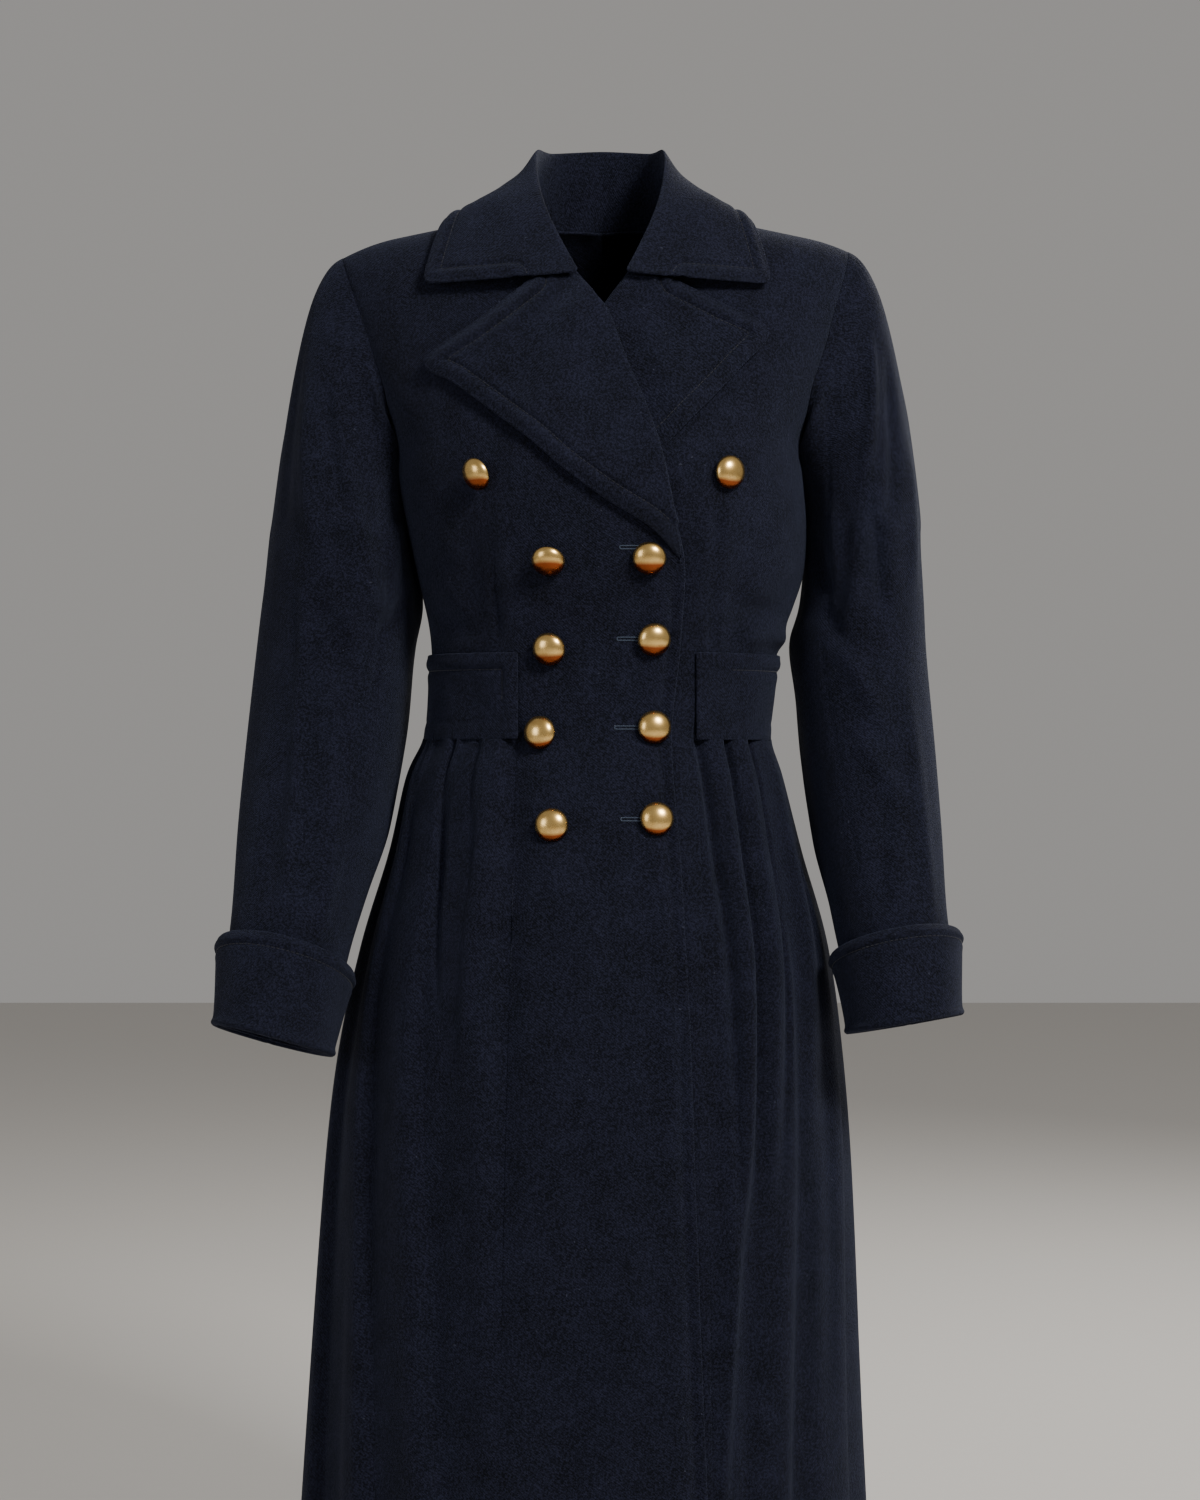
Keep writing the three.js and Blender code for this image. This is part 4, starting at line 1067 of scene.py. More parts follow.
# %% Backs and skirt quarters
BACK_CREASES = {
    "right": [
        (-30, -60, -120, -150, 22, 2.0), (-150, -150, -60, -230, 18, -1.8),
        (-140, -260, -60, -330, 12, 1.8), (-130, -330, -50, -350, 9, -1.6),
        (-20, -110, -14, -300, 16, -1.4), (-130, -190, -80, -300, 14, 1.6),
    ],
    "left": [
        (34, -66, 118, -142, 22, 1.8), (148, -162, 66, -236, 18, -1.8), (138, -272, 58, -326, 12, 2.0),
        (162, -350, 100, -354, 8, 5.0), (126, -336, 44, -346, 9, -1.4), (22, -120, 18, -290, 16, -1.2),
        (128, -200, 84, -290, 14, 1.4),
    ],
}
BACK_COLUMNS = 50
BACK_ROWS = 105
SKIRT_COLUMNS = 100
SKIRT_ROWS = 110
# The share of a quarter's width over which its pleats grow beside a front's strip.
SKIRT_OPEN = 0.1
# The middle seam's groove (width and depth), and the levels over which it runs out at the neck.
MIDDLE_SEAM = (1.6, 0.7)
MIDDLE_SEAM_TOP = (-12, 0)


def make_back(side):
    """A back half: columns from the middle seam to the armhole and the side seam."""
    sign = SIDES[side]
    place = np.linspace(SHOULDER_CLEAR, WAIST_ROW, BACK_ROWS + 1)[:, None]
    level = body_row(place)[..., LEVEL]
    reach = np.maximum(GAP / 2, read_at_level(BACK_NECKLINE, level))
    middle = sign * (np.pi - np.abs(angle_at(sign * reach, place)))
    outer = sign * (np.pi - np.abs(outer_angle(side, place)))
    angle = mix(middle, outer, np.linspace(0, 1, BACK_COLUMNS + 1)[None, :])
    place = np.broadcast_to(place, angle.shape)
    points = on_body(angle, place, np.zeros(angle.shape))
    x, z = points[..., 0], points[..., 2]
    seam = groove(np.abs(x) - GAP / 2, *MIDDLE_SEAM) * (1 - smooth(*MIDDLE_SEAM_TOP, z))
    relief = creases(x, z, BACK_CREASES[side]) + seam
    return cloth(f"back_{side}", points, relief, bulge=np.full(angle.shape, PANEL_BULGE))


def make_skirt(name, begin, end, side=None):
    """A quarter of the skirt: columns between two lines, rows from the waist seam to the hem. A front
    quarter has the side that it is on. It goes on from the strip at the strip's own height."""
    place = np.linspace(WAIST_ROW + WAIST_CLEAR, HEM_ROW, SKIRT_ROWS + 1)[:, None]
    u = np.append([0, HOLD / 4], np.linspace(0, 1, SKIRT_COLUMNS)[1:])[None, :]
    angle = mix(begin(place), end(place), u)
    place = np.broadcast_to(place, angle.shape)
    flat = body_point(angle, place)
    x, z = flat[..., 0], flat[..., 2]
    relief = skirt_relief(angle, z)
    pleats = fold_height(angle, z)
    bulge = np.full(angle.shape, PANEL_BULGE)
    bulge[-1] = EDGE_BULGE
    if side:
        pleats = pleats * smooth(0, SKIRT_OPEN, u) + front_offset(SIDES[side], x, z)
        relief = relief + seam_dip(side, x - x[:, :1], z)
        bulge[:-1, 0] = 0.0
    return cloth(name, on_body(angle, place, pleats), relief, bulge=bulge)


def half_gap(place):
    """Half a seam's gap as an angle."""
    return GAP / 2 / body_row(place)[..., LEFT]


for side, sign in SIDES.items():
    make_back(side)
    make_skirt(f"skirt_front_{side}",
               lambda place: strip_angle(side, place),
               lambda place: sign * (np.pi / 2 - half_gap(place)) + 0 * place, side)
    make_skirt(f"skirt_back_{side}",
               lambda place: sign * (np.pi / 2 + half_gap(place)) + 0 * place,
               lambda place: sign * (np.pi - half_gap(place)) + 0 * place)

# %% [markdown]
# ## The waistband
#
# A band of double cloth is sewn round the waist, from beside the buttons on the right round the back to
# the left. It is turned at its edges and topstitched 13 mm in, so it has a slight pillow between its edge
# and the stitches, which sink in and are lost along its lower edge and at its left end.

# %% Waistband
BAND_TOP = -369.0
BAND_STAND = 0.8
BAND_START = {"right": 70, "left": 79}
# Stitches show down this share of the band's height, and not within this distance of its left end.
BAND_STITCHED = 0.6
BAND_PLAIN = 30.0
# How firm the rim and the stitches' groove are at the band's left end and past this distance from it, what
# share of that is left in its lower part, and the shares of its height between which that part begins.
BAND_FIRM = (0.15, 0.85)
BAND_FIRM_PAST = 70
BAND_LOWER_FIRM = 0.3
BAND_LOWER = (0.45, 0.55)
# Behind, the band's creases are only this share of their height.
BAND_BEHIND = 0.6
BAND_END_COLUMNS = 22
BAND_COLUMNS = 150
BAND_ROWS = 37
BAND_CREASES = [
    (-140, -380, -122, -430, 8, 1.0), (-112, -378, -104, -436, 9, -0.9), (-92, -374, -88, -420, 8, 0.6),
    (132, -378, 120, -434, 8, 1.0), (106, -380, 110, -436, 9, -0.9), (90, -374, 88, -416, 7, 0.6),
]


def make_band():
    """The waistband: it lies on the fronts and the back, and stands a little off them."""
    top = place_at(0.0, BAND_TOP)
    ends = np.linspace(0, 0.04, BAND_END_COLUMNS)
    u = np.concatenate([ends, np.linspace(0.04, 0.96, BAND_COLUMNS)[1:-1], 1 - ends[::-1]])[None, :]
    place = np.linspace(float(top), WAIST_ROW - WAIST_CLEAR, BAND_ROWS)[:, None]
    start = angle_at(-BAND_START["right"] + 0 * place, place)
    end = angle_at(BAND_START["left"] + 0 * place, place) - 2 * np.pi
    angle = mix(start, end, u)
    place = np.broadcast_to(place, angle.shape)
    flat = body_point(angle, place)
    x, z = flat[..., 0], flat[..., 2]
    ahead = np.cos(angle) > 0
    under = np.where(ahead & (x < 0), front_offset(-1, x, z), 0)
    points = on_body(angle, place, under + GAP + BAND_STAND + THICK)
    steps = np.linalg.norm(np.diff(points[len(points) // 2], axis=0), axis=-1)
    along = np.concatenate([[0], np.cumsum(steps)])
    from_end = np.minimum(along, along[-1] - along)
    tall = points[0, :1, 2] - points[:, :1, 2]
    inset = np.minimum(np.minimum(from_end[None, :], tall), tall[-1] - tall)
    lower = smooth(*BAND_LOWER, tall / tall[-1])
    firm = mix(*BAND_FIRM, smooth(0, BAND_FIRM_PAST, along[-1] - along))[None, :]
    firm = firm * mix(1.0, BAND_LOWER_FIRM, lower)
    relief = (rolled_rim(inset) + groove(np.abs(inset - STITCH_IN))) * firm
    relief = relief + creases(x, z, BAND_CREASES) * np.where(ahead, 1.0, BAND_BEHIND)
    stitched = (tall < BAND_STITCHED * tall[-1]) & (along[-1] - along > BAND_PLAIN)[None, :]
    stitched = stitched | (along < STITCH_IN + 0.5)[None, :]
    sewn = (inset - STITCH_IN, stitched)
    return cloth("waistband", points, relief, bulge=np.full(angle.shape, EDGE_BULGE), sewn=sewn)


make_band()

# %% [markdown]
# ## The lapels
#
# A lapel is the upper part of the front, faced and turned back along a soft roll. It is never creased
# flat: steam and pad stitching make it roll over a radius of a few millimetres. So each lapel begins
# with an arc that comes up out of the front's edge, then lies on the chest and lifts towards its point.
# Topstitching runs 14 mm inside both free edges.

# %% Table of the lapels
LAPELS = {
    # roll, roll's level, edge, edge's level, from the break up to the collar
    "right": np.array([
        [-65, -293, -62, -289], [-59, -268, -40, -264], [-53, -240, -2, -240], [-45, -205, 38, -211],
        [-33, -168, 79, -177], [-19, -134, 118, -146], [-2, -88, 144, -125], [11, -70, 102, -93],
        [23, -54, 60, -60],
    ], float),
    "left": np.array([
        [-57, -293, -54, -289], [-55, -268, -38, -262], [-53, -240, -4, -236], [-45, -205, 40, -207],
        [-33, -168, 75, -172], [-19, -134, 112, -132], [-2, -88, 136, -99], [11, -70, 98, -78],
        [23, -54, 62, -60],
    ], float),
}
LAPEL_LIFT = {"right": 5.0, "left": 3.5}
LAPEL_SEAT = 1.5
# The left lapel lies on its own front alone from these distances past the right front's edge.
CLEAR_OF_LAP = (9.0, 34.0)
# At the break a lapel goes over into the front, so its lowest end sinks into it.
BREAK_SINK = 3.2
ROLL_RADIUS = 3.3
ROLL_STEPS = 9
LAPEL_ROWS = 151
LAPEL_COLUMNS = 75
LAPEL_STITCH_IN = 14.0
# Shares of the way up from the break: where the groove and the rim come in, where the roll opens and where
# stitches begin. They also begin so many columns past the roll.
LAPEL_GROOVE_IN = (0.04, 0.2)
LAPEL_RIM_IN = (0, 0.34)
ROLL_OPENS = (0.0, 0.2)
LAPEL_STITCHED = 0.14
ROLL_PLAIN_COLUMNS = 4
# How far round the roll turns under, in degrees, and its least radius.
ROLL_TURN = 168
ROLL_LEAST = 0.5
LAPEL_CREASES = {
    "right": [
        (30, -250, -10, -170, 22, -1.8), (-40, -150, 10, -110, 16, 1.4), (-96, -150, -60, -128, 14, -1.0),
        (10, -215, 40, -250, 12, 1.2), (-20, -190, -60, -150, 20, 1.0),
    ],
    "left": [
        (40, -220, 20, -150, 20, -1.6), (60, -150, 30, -110, 16, 1.2), (100, -136, 70, -118, 14, -0.9),
        (30, -190, 70, -160, 18, 1.0),
    ],
}


def lapel_surface(side):
    """A lapel's outer face: columns from the roll to the edge, rows from the break up to the collar."""
    sign = SIDES[side]
    v = np.linspace(0, 1, LAPEL_ROWS)[:, None]
    u = np.sin(np.linspace(0, np.pi / 2, LAPEL_COLUMNS))[None, :]
    row = read_rows(LAPELS[side], v[:, 0] * (len(LAPELS[side]) - 1))
    roll, roll_level, edge, edge_level = [row[:, k:k + 1] for k in range(4)]
    x = sign * mix(roll, edge, u)
    z = mix(roll_level, edge_level, u)
    place = place_at(x, z)
    free = smooth(*CLEAR_OF_LAP, x + edge_reach(-1, z)) if sign > 0 else 1.0
    rise = LAPEL_LIFT[side] * free * (0.35 + 0.65 * smooth(0.1, 0.9, v)) * smooth(0, 0.6, u)
    seat = (GAP + LAPEL_SEAT * free) * smooth(0, 0.1, v) - BREAK_SINK * (1 - smooth(0, 0.15, v))
    under = front_offset(sign, x, z) + seat + THICK
    return on_body(angle_at(x, place), place, under + rise), u, v


def make_lapel(side):
    """A lapel with its roll: the face, then an arc of cloth that turns under along the roll."""
    face, u, v = lapel_surface(side)
    normals = outward_normals(face, False)
    from_edge = distance_to(face, face[::2, -1])
    sewn = groove(np.abs(from_edge - LAPEL_STITCH_IN)) * smooth(*LAPEL_GROOVE_IN, v)
    x, z = face[..., 0], face[..., 2]
    relief = sewn + rolled_rim(from_edge) * smooth(*LAPEL_RIM_IN, v) + creases(x, z, LAPEL_CREASES[side])
    face = face + normals * relief[..., None]
    normals = outward_normals(face, False)
    start = face[:, :1]
    up = normals[:, :1]
    away = unit(face[:, :1] - face[:, 3:4])
    turn = np.linspace(np.radians(ROLL_TURN), 0, ROLL_STEPS + 1)[None, :-1, None]
    radius = ROLL_RADIUS * smooth(*ROLL_OPENS, v)[..., None] + ROLL_LEAST
    arc = start - up * radius + up * radius * np.cos(turn) + away * radius * np.sin(turn)
    points = np.concatenate([arc, face], axis=1)
    bulge = np.full(points.shape[:2], EDGE_BULGE)
    arc_columns = arc.shape[1]
    field = np.pad(from_edge - LAPEL_STITCH_IN, ((0, 0), (arc_columns, 0)), constant_values=1.0)
    past_roll = np.arange(points.shape[1]) >= arc_columns + ROLL_PLAIN_COLUMNS
    keep = np.broadcast_to(past_roll & (v > LAPEL_STITCHED), field.shape)
    return cloth(f"lapel_{side}", points, 0.0, bulge=bulge, sewn=(field, keep))


for side in SIDES:
    make_lapel(side)

# %% [markdown]
# ## The collar
#
# The collar is a separate band of cloth, sewn to the neck seam. It stands up as it goes round the neck,
# folds over and falls on to the shoulders. The table gives, from a front end to the middle of the back,
# where its fold, the middle of its fall and its outer edge lie.

# %% The collar
COLLAR = np.array([
    # neck row, then across, y and z of the fold, of the fall and of the edge
    [3.9, 25, -106, -49, 86, -103, -54, 152, -84, -56],
    [2.6, 50, -72, 14, 95, -58, 17, 137, -50, 0],
    [0, 56, -8, 69, 81, -3, 39, 123, -2, 10],
    [-1.5, 42, 40, 78, 64, 56, 42, 92, 58, 8],
    [-2, 0, 60, 84, 0, 80, 41, 0, 92, 0],
], float)
COLLAR_SHARE = {-1: 1.0, 1: 0.94}
MIRROR_ACROSS = np.array([1, -1, 1, 1, -1, 1, 1, -1, 1, 1], float)
COLLAR_CREASES = [
    (-0.62, 1.6, -0.45, 2.6, 0.06, 1.6), (0.6, 1.7, 0.42, 2.5, 0.06, 1.5),
    (-0.3, 1.3, -0.2, 2.4, 0.07, -1.4), (0.25, 1.4, 0.33, 2.6, 0.06, -1.2),
    (-0.85, 1.5, -0.7, 2.2, 0.05, 0.9), (0.84, 1.6, 0.68, 2.3, 0.05, 0.8),
]


def neck_seam(sign, place):
    """The neck seam, just clear of the edges of the front and the back."""
    row = np.interp(place, np.arange(len(COLLAR)), COLLAR[:, 0])
    level = body_row(np.abs(row))[..., LEVEL]
    reach = np.where(row > 0, edge_reach(1, level), read_at_level(BACK_NECKLINE, level))
    angle = angle_at(sign * np.maximum(0, reach), np.abs(row))
    clear = mix(2 * GAP, LAYER + GAP, smooth(1.5, 3.9, row))
    return on_body(np.where(row > 0, angle, np.pi - angle), np.abs(row), clear)


def collar_surface(around, across):
    """The collar's face: round from the right end (-1) to the left end (1), across from the seam (0) over
    the fold (1) and the fall (2) to the edge (3). Both are grids."""
    last = len(COLLAR) - 1
    place = (1 - np.abs(around[:, 0])) * last
    table = np.vstack([COLLAR[:1], COLLAR, COLLAR[-2:-3:-1] * MIRROR_ACROSS])
    i = np.clip(np.floor(place).astype(int), 0, last - 1)
    t = (place - i)[:, None]
    row = spline(table[i], table[i + 1], table[i + 2], table[i + 3], t)
    sign = np.where(around[:, 0] < 0, -1, 1)
    share = np.where(around[:, 0] < 0, COLLAR_SHARE[-1], COLLAR_SHARE[1])
    row[:, [1, 4, 7]] *= (sign * share)[:, None]
    lines = np.stack([neck_seam(sign, place), row[:, 1:4], row[:, 4:7], row[:, 7:10]], axis=1)
    lines = np.concatenate([lines[:, :1], lines, lines[:, -1:]], axis=1)
    j = np.clip(np.floor(across).astype(int), 0, 2)
    t = (across - j)[..., None]
    near = [np.take_along_axis(lines, (j + step)[..., None], axis=1) for step in range(4)]
    return spline(*near, t)


COLLAR_HALF = 230.0
COLLAR_FALL = 66.0
CORNER = 17.0
FOLD_PASSES = 23
# A collar's crease counts half its way round and the way from one line to the next as so many millimetres.
COLLAR_ROUND = 100
COLLAR_OVER = 30
COLLAR_END_ROWS = 27
COLLAR_ROWS = 176
STAND_COLUMNS = 49
FALL_COLUMNS = 37
# Counted across the collar: how near the fold the cloth is rounded, where the groove and the rim come in past
# the fold, and where stitches begin.
FOLD_REACH = 0.34
FALL_BEGINS = (1.25, 1.5)
COLLAR_STITCHED = 1.4


def round_fold(face, across):
    """Rounds the collar's fold: each point near it moves again and again to the middle of its
    neighbours, as steam and a thick cloth make it."""
    near = np.exp(-(((across - 1) / FOLD_REACH) ** 2))[:, 1:-1, None]
    for _ in range(FOLD_PASSES):
        halfway = (face[:, :-2] + 2 * face[:, 1:-1] + face[:, 2:]) / 4
        face = np.concatenate([face[:, :1], mix(face[:, 1:-1], halfway, near), face[:, -1:]], axis=1)
    return face


def make_collar():
    """The collar, with topstitching 13 mm inside its ends and its outer edge."""
    ends = np.linspace(0, 0.1, COLLAR_END_ROWS)
    around = np.concatenate([ends, np.linspace(0.1, 0.9, COLLAR_ROWS)[1:-1], 1 - ends[::-1]])[:, None] * 2 - 1
    across = np.concatenate([np.linspace(0, 2, STAND_COLUMNS), np.linspace(2, 3, FALL_COLUMNS)[1:]])[None, :]
    from_end = (1 - np.abs(around)) * COLLAR_HALF
    corner = np.clip(CORNER - from_end, 0, CORNER)
    cut = (CORNER - np.sqrt(CORNER**2 - corner**2)) / COLLAR_FALL
    across = across * (1 - cut / 3)
    around = np.broadcast_to(around, across.shape)
    face = round_fold(collar_surface(around, across), across)
    rim = np.concatenate([face[0, STAND_COLUMNS::5], face[:, -1][::3], face[-1, STAND_COLUMNS::5][::-1]])
    from_edge = distance_to(face, rim)
    falls = smooth(*FALL_BEGINS, across)
    relief = (groove(np.abs(from_edge - STITCH_IN)) + rolled_rim(from_edge)) * falls
    table = [
        (a * COLLAR_ROUND, b * COLLAR_OVER, c * COLLAR_ROUND, d * COLLAR_OVER, wide * COLLAR_ROUND, high)
        for a, b, c, d, wide, high in COLLAR_CREASES
    ]
    relief = relief + creases(around * COLLAR_ROUND, across * COLLAR_OVER, table)
    keep = np.broadcast_to(across > COLLAR_STITCHED, from_edge.shape)
    sewn = (from_edge - STITCH_IN, keep)
    return cloth("collar", face, relief, bulge=np.full(face.shape[:2], EDGE_BULGE), sewn=sewn)


make_collar()

# %% [markdown]
# ## The sleeves
#
# A sleeve head is cut a little longer than its armhole and eased in, so it stands full at the shoulder
# and turns down softly. Below it the sleeve is a tube bent at the elbow. The rings of the table give its
# middle, its half width and depth, and how each is turned up at the front and at the outer side, so that
# the cuff lies square to the forearm. Two seams run down it, one towards the front and one behind.

# %% Table of the sleeves
SLEEVES = {
    # z, out, y, half, deep, tilt, lean
    "right": np.array([
        [-258, 229.5, 10, 57.5, 80, 0, 0], [-319, 228.5, 12, 67.5, 77, 2, 2],
        [-372, 233.5, 10, 68.5, 74, 7, 4], [-459, 243.5, -12, 65.5, 68, 15, 7],
        [-528, 251.5, -42, 61, 61, 21, 10], [-598, 262, -74, 52, 55, 24, 13],
        [-645, 268, -98, 49, 52, 19, 14], [-690, 273, -122, 47, 50, 9, 15],
    ], float),
    "left": np.array([
        [-258, 229, 12, 47.5, 80, 0, 0], [-319, 229, 14, 51.5, 77, 2, 1], [-372, 225, 12, 58, 74, 6, 2],
        [-459, 232, -10, 56.5, 68, 12, 5], [-528, 238, -38, 53, 61, 16, 7],
        [-592, 244, -66, 48, 55, 19, 9], [-632, 249, -86, 46, 52, 14, 10],
        [-678, 252, -105, 44.5, 50, 6, 10],
    ], float),
}
CAP_TOP, CAP_OVER, CAP_LOW, CAP_DOWN, CAP_END = 126.0, 50.0, 16.0, 60.0, 95.0
CAP_SHARE = 0.36
ARMHOLE_GAP = 0.5


def armhole_point(side, turn):
    """The armhole seam: from the shoulder (0) down the front, under the arm (0.5) and up the back."""
    turn = turn - np.floor(turn)
    place = UNDERARM_ROW * (1 - np.abs(1 - 2 * turn))
    row = body_row(place)
    angle = np.arcsin(np.minimum(1, row[..., ARM]) ** (row[..., POWER] / 2))
    return body_point(SIDES[side] * np.where(turn <= 0.5, angle, np.pi - angle), place)


def ring_point(side, turn, place):
    """A ring of the sleeve below its head: an ellipse turned by its tilt and its lean."""
    row = read_rows(SLEEVES[side], place)
    z, out, y, half, deep, tilt, lean = [row[..., k] for k in range(7)]
    outer = np.cos(2 * np.pi * turn) * half
    ahead = np.sin(2 * np.pi * turn) * deep
    lean, tilt = np.radians(lean), np.radians(tilt)
    return np.stack([
        SIDES[side] * (out + outer * np.cos(lean)),
        y - ahead * np.cos(tilt),
        z + outer * np.sin(lean) + ahead * np.sin(tilt),
    ], axis=-1)


def sleeve_point(side, turn, down):
    """The sleeve's face. The head is a Hermite curve that leaves the armhole outwards and arrives at the
    first ring along the sleeve."""
    turn, down = np.broadcast_arrays(turn, down)
    sign = SIDES[side]
    last = len(SLEEVES[side]) - 1
    below = ring_point(side, turn, np.clip((down - CAP_SHARE) / (1 - CAP_SHARE), 0, 1) * last)
    t = np.clip(down / CAP_SHARE, 0, 1)[..., None]
    upper = (1 + np.cos(2 * np.pi * turn)) / 2
    pull = mix(CAP_LOW, CAP_TOP, upper)
    start = armhole_point(side, turn) + np.array([sign * ARMHOLE_GAP, 0, 0])
    leave = np.stack([sign * pull, 0 * pull, -mix(CAP_DOWN, CAP_OVER, upper)], axis=-1)
    end = ring_point(side, turn, np.zeros(turn.shape))
    arrive = unit(ring_point(side, turn, np.full(turn.shape, 0.05)) - end) * CAP_END
    head = (start * (2 * t**3 - 3 * t**2 + 1) + leave * (t**3 - 2 * t**2 + t)
            + end * (3 * t**2 - 2 * t**3) + arrive * (t**3 - t**2))
    return np.where((down < CAP_SHARE)[..., None], head, below)


# Creases of a sleeve, as turn round it (0 outer, 0.25 front, 0.5 under, 0.75 back), share of the way
# down, turn, share, width and height. A turn is counted as 360 mm and the length as 700 mm.
SLEEVE_CREASES = {
    "right": [
        (0.16, 0.16, 0.22, 0.44, 9, 2.6), (0.22, 0.14, 0.30, 0.36, 8, -2.2),
        (0.27, 0.20, 0.34, 0.50, 10, 2.6), (0.08, 0.10, 0.12, 0.40, 11, -1.8),
        (0.18, 0.38, 0.25, 0.88, 5, 2.6), (0.22, 0.46, 0.30, 0.60, 9, -2.0),
        (0.34, 0.42, 0.22, 0.55, 9, 2.8), (0.38, 0.50, 0.24, 0.64, 8, 2.2),
        (0.42, 0.44, 0.32, 0.56, 8, -2.6), (0.30, 0.66, 0.36, 0.84, 9, 1.8),
        (0.20, 0.62, 0.18, 0.84, 10, -1.4), (0.44, 0.34, 0.36, 0.44, 9, 2.2),
        (0.60, 0.30, 0.70, 0.48, 12, 2.2), (0.78, 0.20, 0.74, 0.52, 14, -2.0),
        (0.86, 0.26, 0.90, 0.60, 12, 2.0), (0.70, 0.52, 0.82, 0.64, 10, 2.2),
        (0.64, 0.60, 0.78, 0.72, 9, -1.8), (0.96, 0.18, 1.0, 0.44, 12, 1.6),
        (0.50, 0.30, 0.46, 0.50, 10, -2.2), (0.54, 0.54, 0.50, 0.76, 10, 2.0),
    ],
    "left": [
        (0.20, 0.10, 0.28, 0.30, 8, 2.8), (0.28, 0.30, 0.30, 0.52, 8, 3.0),
        (0.14, 0.14, 0.20, 0.36, 9, -2.0), (0.24, 0.34, 0.22, 0.50, 8, -2.2),
        (0.09, 0.22, 0.12, 0.46, 10, 1.8), (0.36, 0.30, 0.34, 0.46, 9, 2.0),
        (0.33, 0.52, 0.22, 0.62, 9, 2.6), (0.38, 0.46, 0.28, 0.56, 8, -2.4),
        (0.30, 0.62, 0.20, 0.70, 8, 1.8), (0.16, 0.56, 0.14, 0.86, 10, 1.6),
        (0.24, 0.68, 0.30, 0.84, 10, -1.6), (0.44, 0.36, 0.36, 0.46, 9, -2.0),
        (0.62, 0.32, 0.72, 0.46, 12, 2.0), (0.76, 0.22, 0.72, 0.50, 14, -2.0),
        (0.88, 0.24, 0.92, 0.58, 12, 1.8), (0.70, 0.54, 0.80, 0.66, 10, 2.0),
        (0.66, 0.62, 0.78, 0.74, 9, -1.8), (0.97, 0.14, 1.0, 0.40, 12, 1.4),
        (0.52, 0.32, 0.48, 0.52, 10, -2.0), (0.56, 0.56, 0.52, 0.78, 10, 1.8),
    ],
}
TURN_MM = 360.0
LENGTH_MM = 700.0
SLEEVE_TURNS = 132
HEAD_ROWS = 46
SLEEVE_ROWS = 136
FRONT_SEAM = (0.40, 0.32)
BACK_SEAM = (0.778, 0.778)
# How far the underarm side of a sleeve is pressed against the body at the armpit and lower down, and
# where it comes away from it.
FLANK_BULGE = {"right": (8.5, 5.0, 0.44, 0.52), "left": (8.5, 6.0, 0.5, 0.58)}
# The pressed side's width as a share of a turn, and the shares of the way down where it begins and where the
# armpit goes over into the flank.
FLANK_WIDTH = 0.11
FLANK_BEGINS = (0.02, 0.07)
ARMPIT_ENDS = (0.14, 0.3)
# Every crease of a sleeve is taken this many times as high as its table says.
CREASE_GAIN = 2.0
SLEEVE_SEAM = (1.5, 0.75)
# The head's fullness: its height, then its middle and width as shares of the head. The same for the small
# waves of the eased cloth at the seam, with how many go round.
FULLNESS, FULLNESS_AT, FULLNESS_WIDTH = 1.0, 0.22, 0.14
EASE, EASE_AT, EASE_WIDTH, EASE_WAVES = 0.35, 0.09, 0.06, 36
# The relief begins over this share of the way down, and the closer rows end at this one.
RELIEF_BEGINS = 0.02
HEAD_END = 0.12


def around_creases(turn, down, table):
    """Creases of a tube. Those near the turn's start are laid twice, so that they cross it unbroken."""
    rows = []
    for a, b, c, d, wide, high in table:
        for whole in (-1, 0, 1):
            begin = ((a + whole) * TURN_MM, b * LENGTH_MM)
            end = ((c + whole) * TURN_MM, d * LENGTH_MM)
            rows.append((*begin, *end, wide, high))
    return creases(turn * TURN_MM, down * LENGTH_MM, rows)


def seam_line(turn, down, seam):
    """A seam of the tube, from a turn at the armhole to a turn at the wrist."""
    off = np.abs(turn - mix(seam[0], seam[1], down))
    return groove(np.minimum(off, 1 - off) * TURN_MM, *SLEEVE_SEAM)


def sleeve_relief(side, turn, down):
    """Creases, the two seams, and the fullness of the head just past the armhole seam."""
    relief = CREASE_GAIN * around_creases(turn, down, SLEEVE_CREASES[side])
    pressed = np.exp(-(((turn - 0.5) / FLANK_WIDTH) ** 2)) * smooth(*FLANK_BEGINS, down)
    armpit, flank, leaves, clear = FLANK_BULGE[side]
    firm = mix(armpit, flank, smooth(*ARMPIT_ENDS, down))
    relief = relief + firm * pressed * (1 - smooth(leaves, clear, down))
    relief = relief + seam_line(turn, down, FRONT_SEAM) + seam_line(turn, down, BACK_SEAM)
    upper = (1 + np.cos(2 * np.pi * turn)) / 2
    past = down / CAP_SHARE
    head = FULLNESS * upper * np.exp(-(((past - FULLNESS_AT) / FULLNESS_WIDTH) ** 2))
    waves = np.sin(2 * np.pi * turn * EASE_WAVES)
    eased = EASE * upper * waves * np.exp(-(((past - EASE_AT) / EASE_WIDTH) ** 2))
    return (relief + head + eased) * smooth(0, RELIEF_BEGINS, down)


def make_sleeve(side):
    """A sleeve, with closer rows at its head, where it turns over."""
    head, rest = np.linspace(0, HEAD_END, HEAD_ROWS), np.linspace(HEAD_END, 1, SLEEVE_ROWS)
    down = np.concatenate([head, rest[1:]])[:, None]
    turn = np.arange(SLEEVE_TURNS)[None, :] / SLEEVE_TURNS
    points = sleeve_point(side, turn, down)
    nodes = [f"sleeve_upper_{side}", f"sleeve_under_{side}"]
    relief = sleeve_relief(side, turn, down)
    return cloth(f"sleeve_{side}", points, relief, closed=True, nodes=nodes)


for side in SIDES:
    make_sleeve(side)

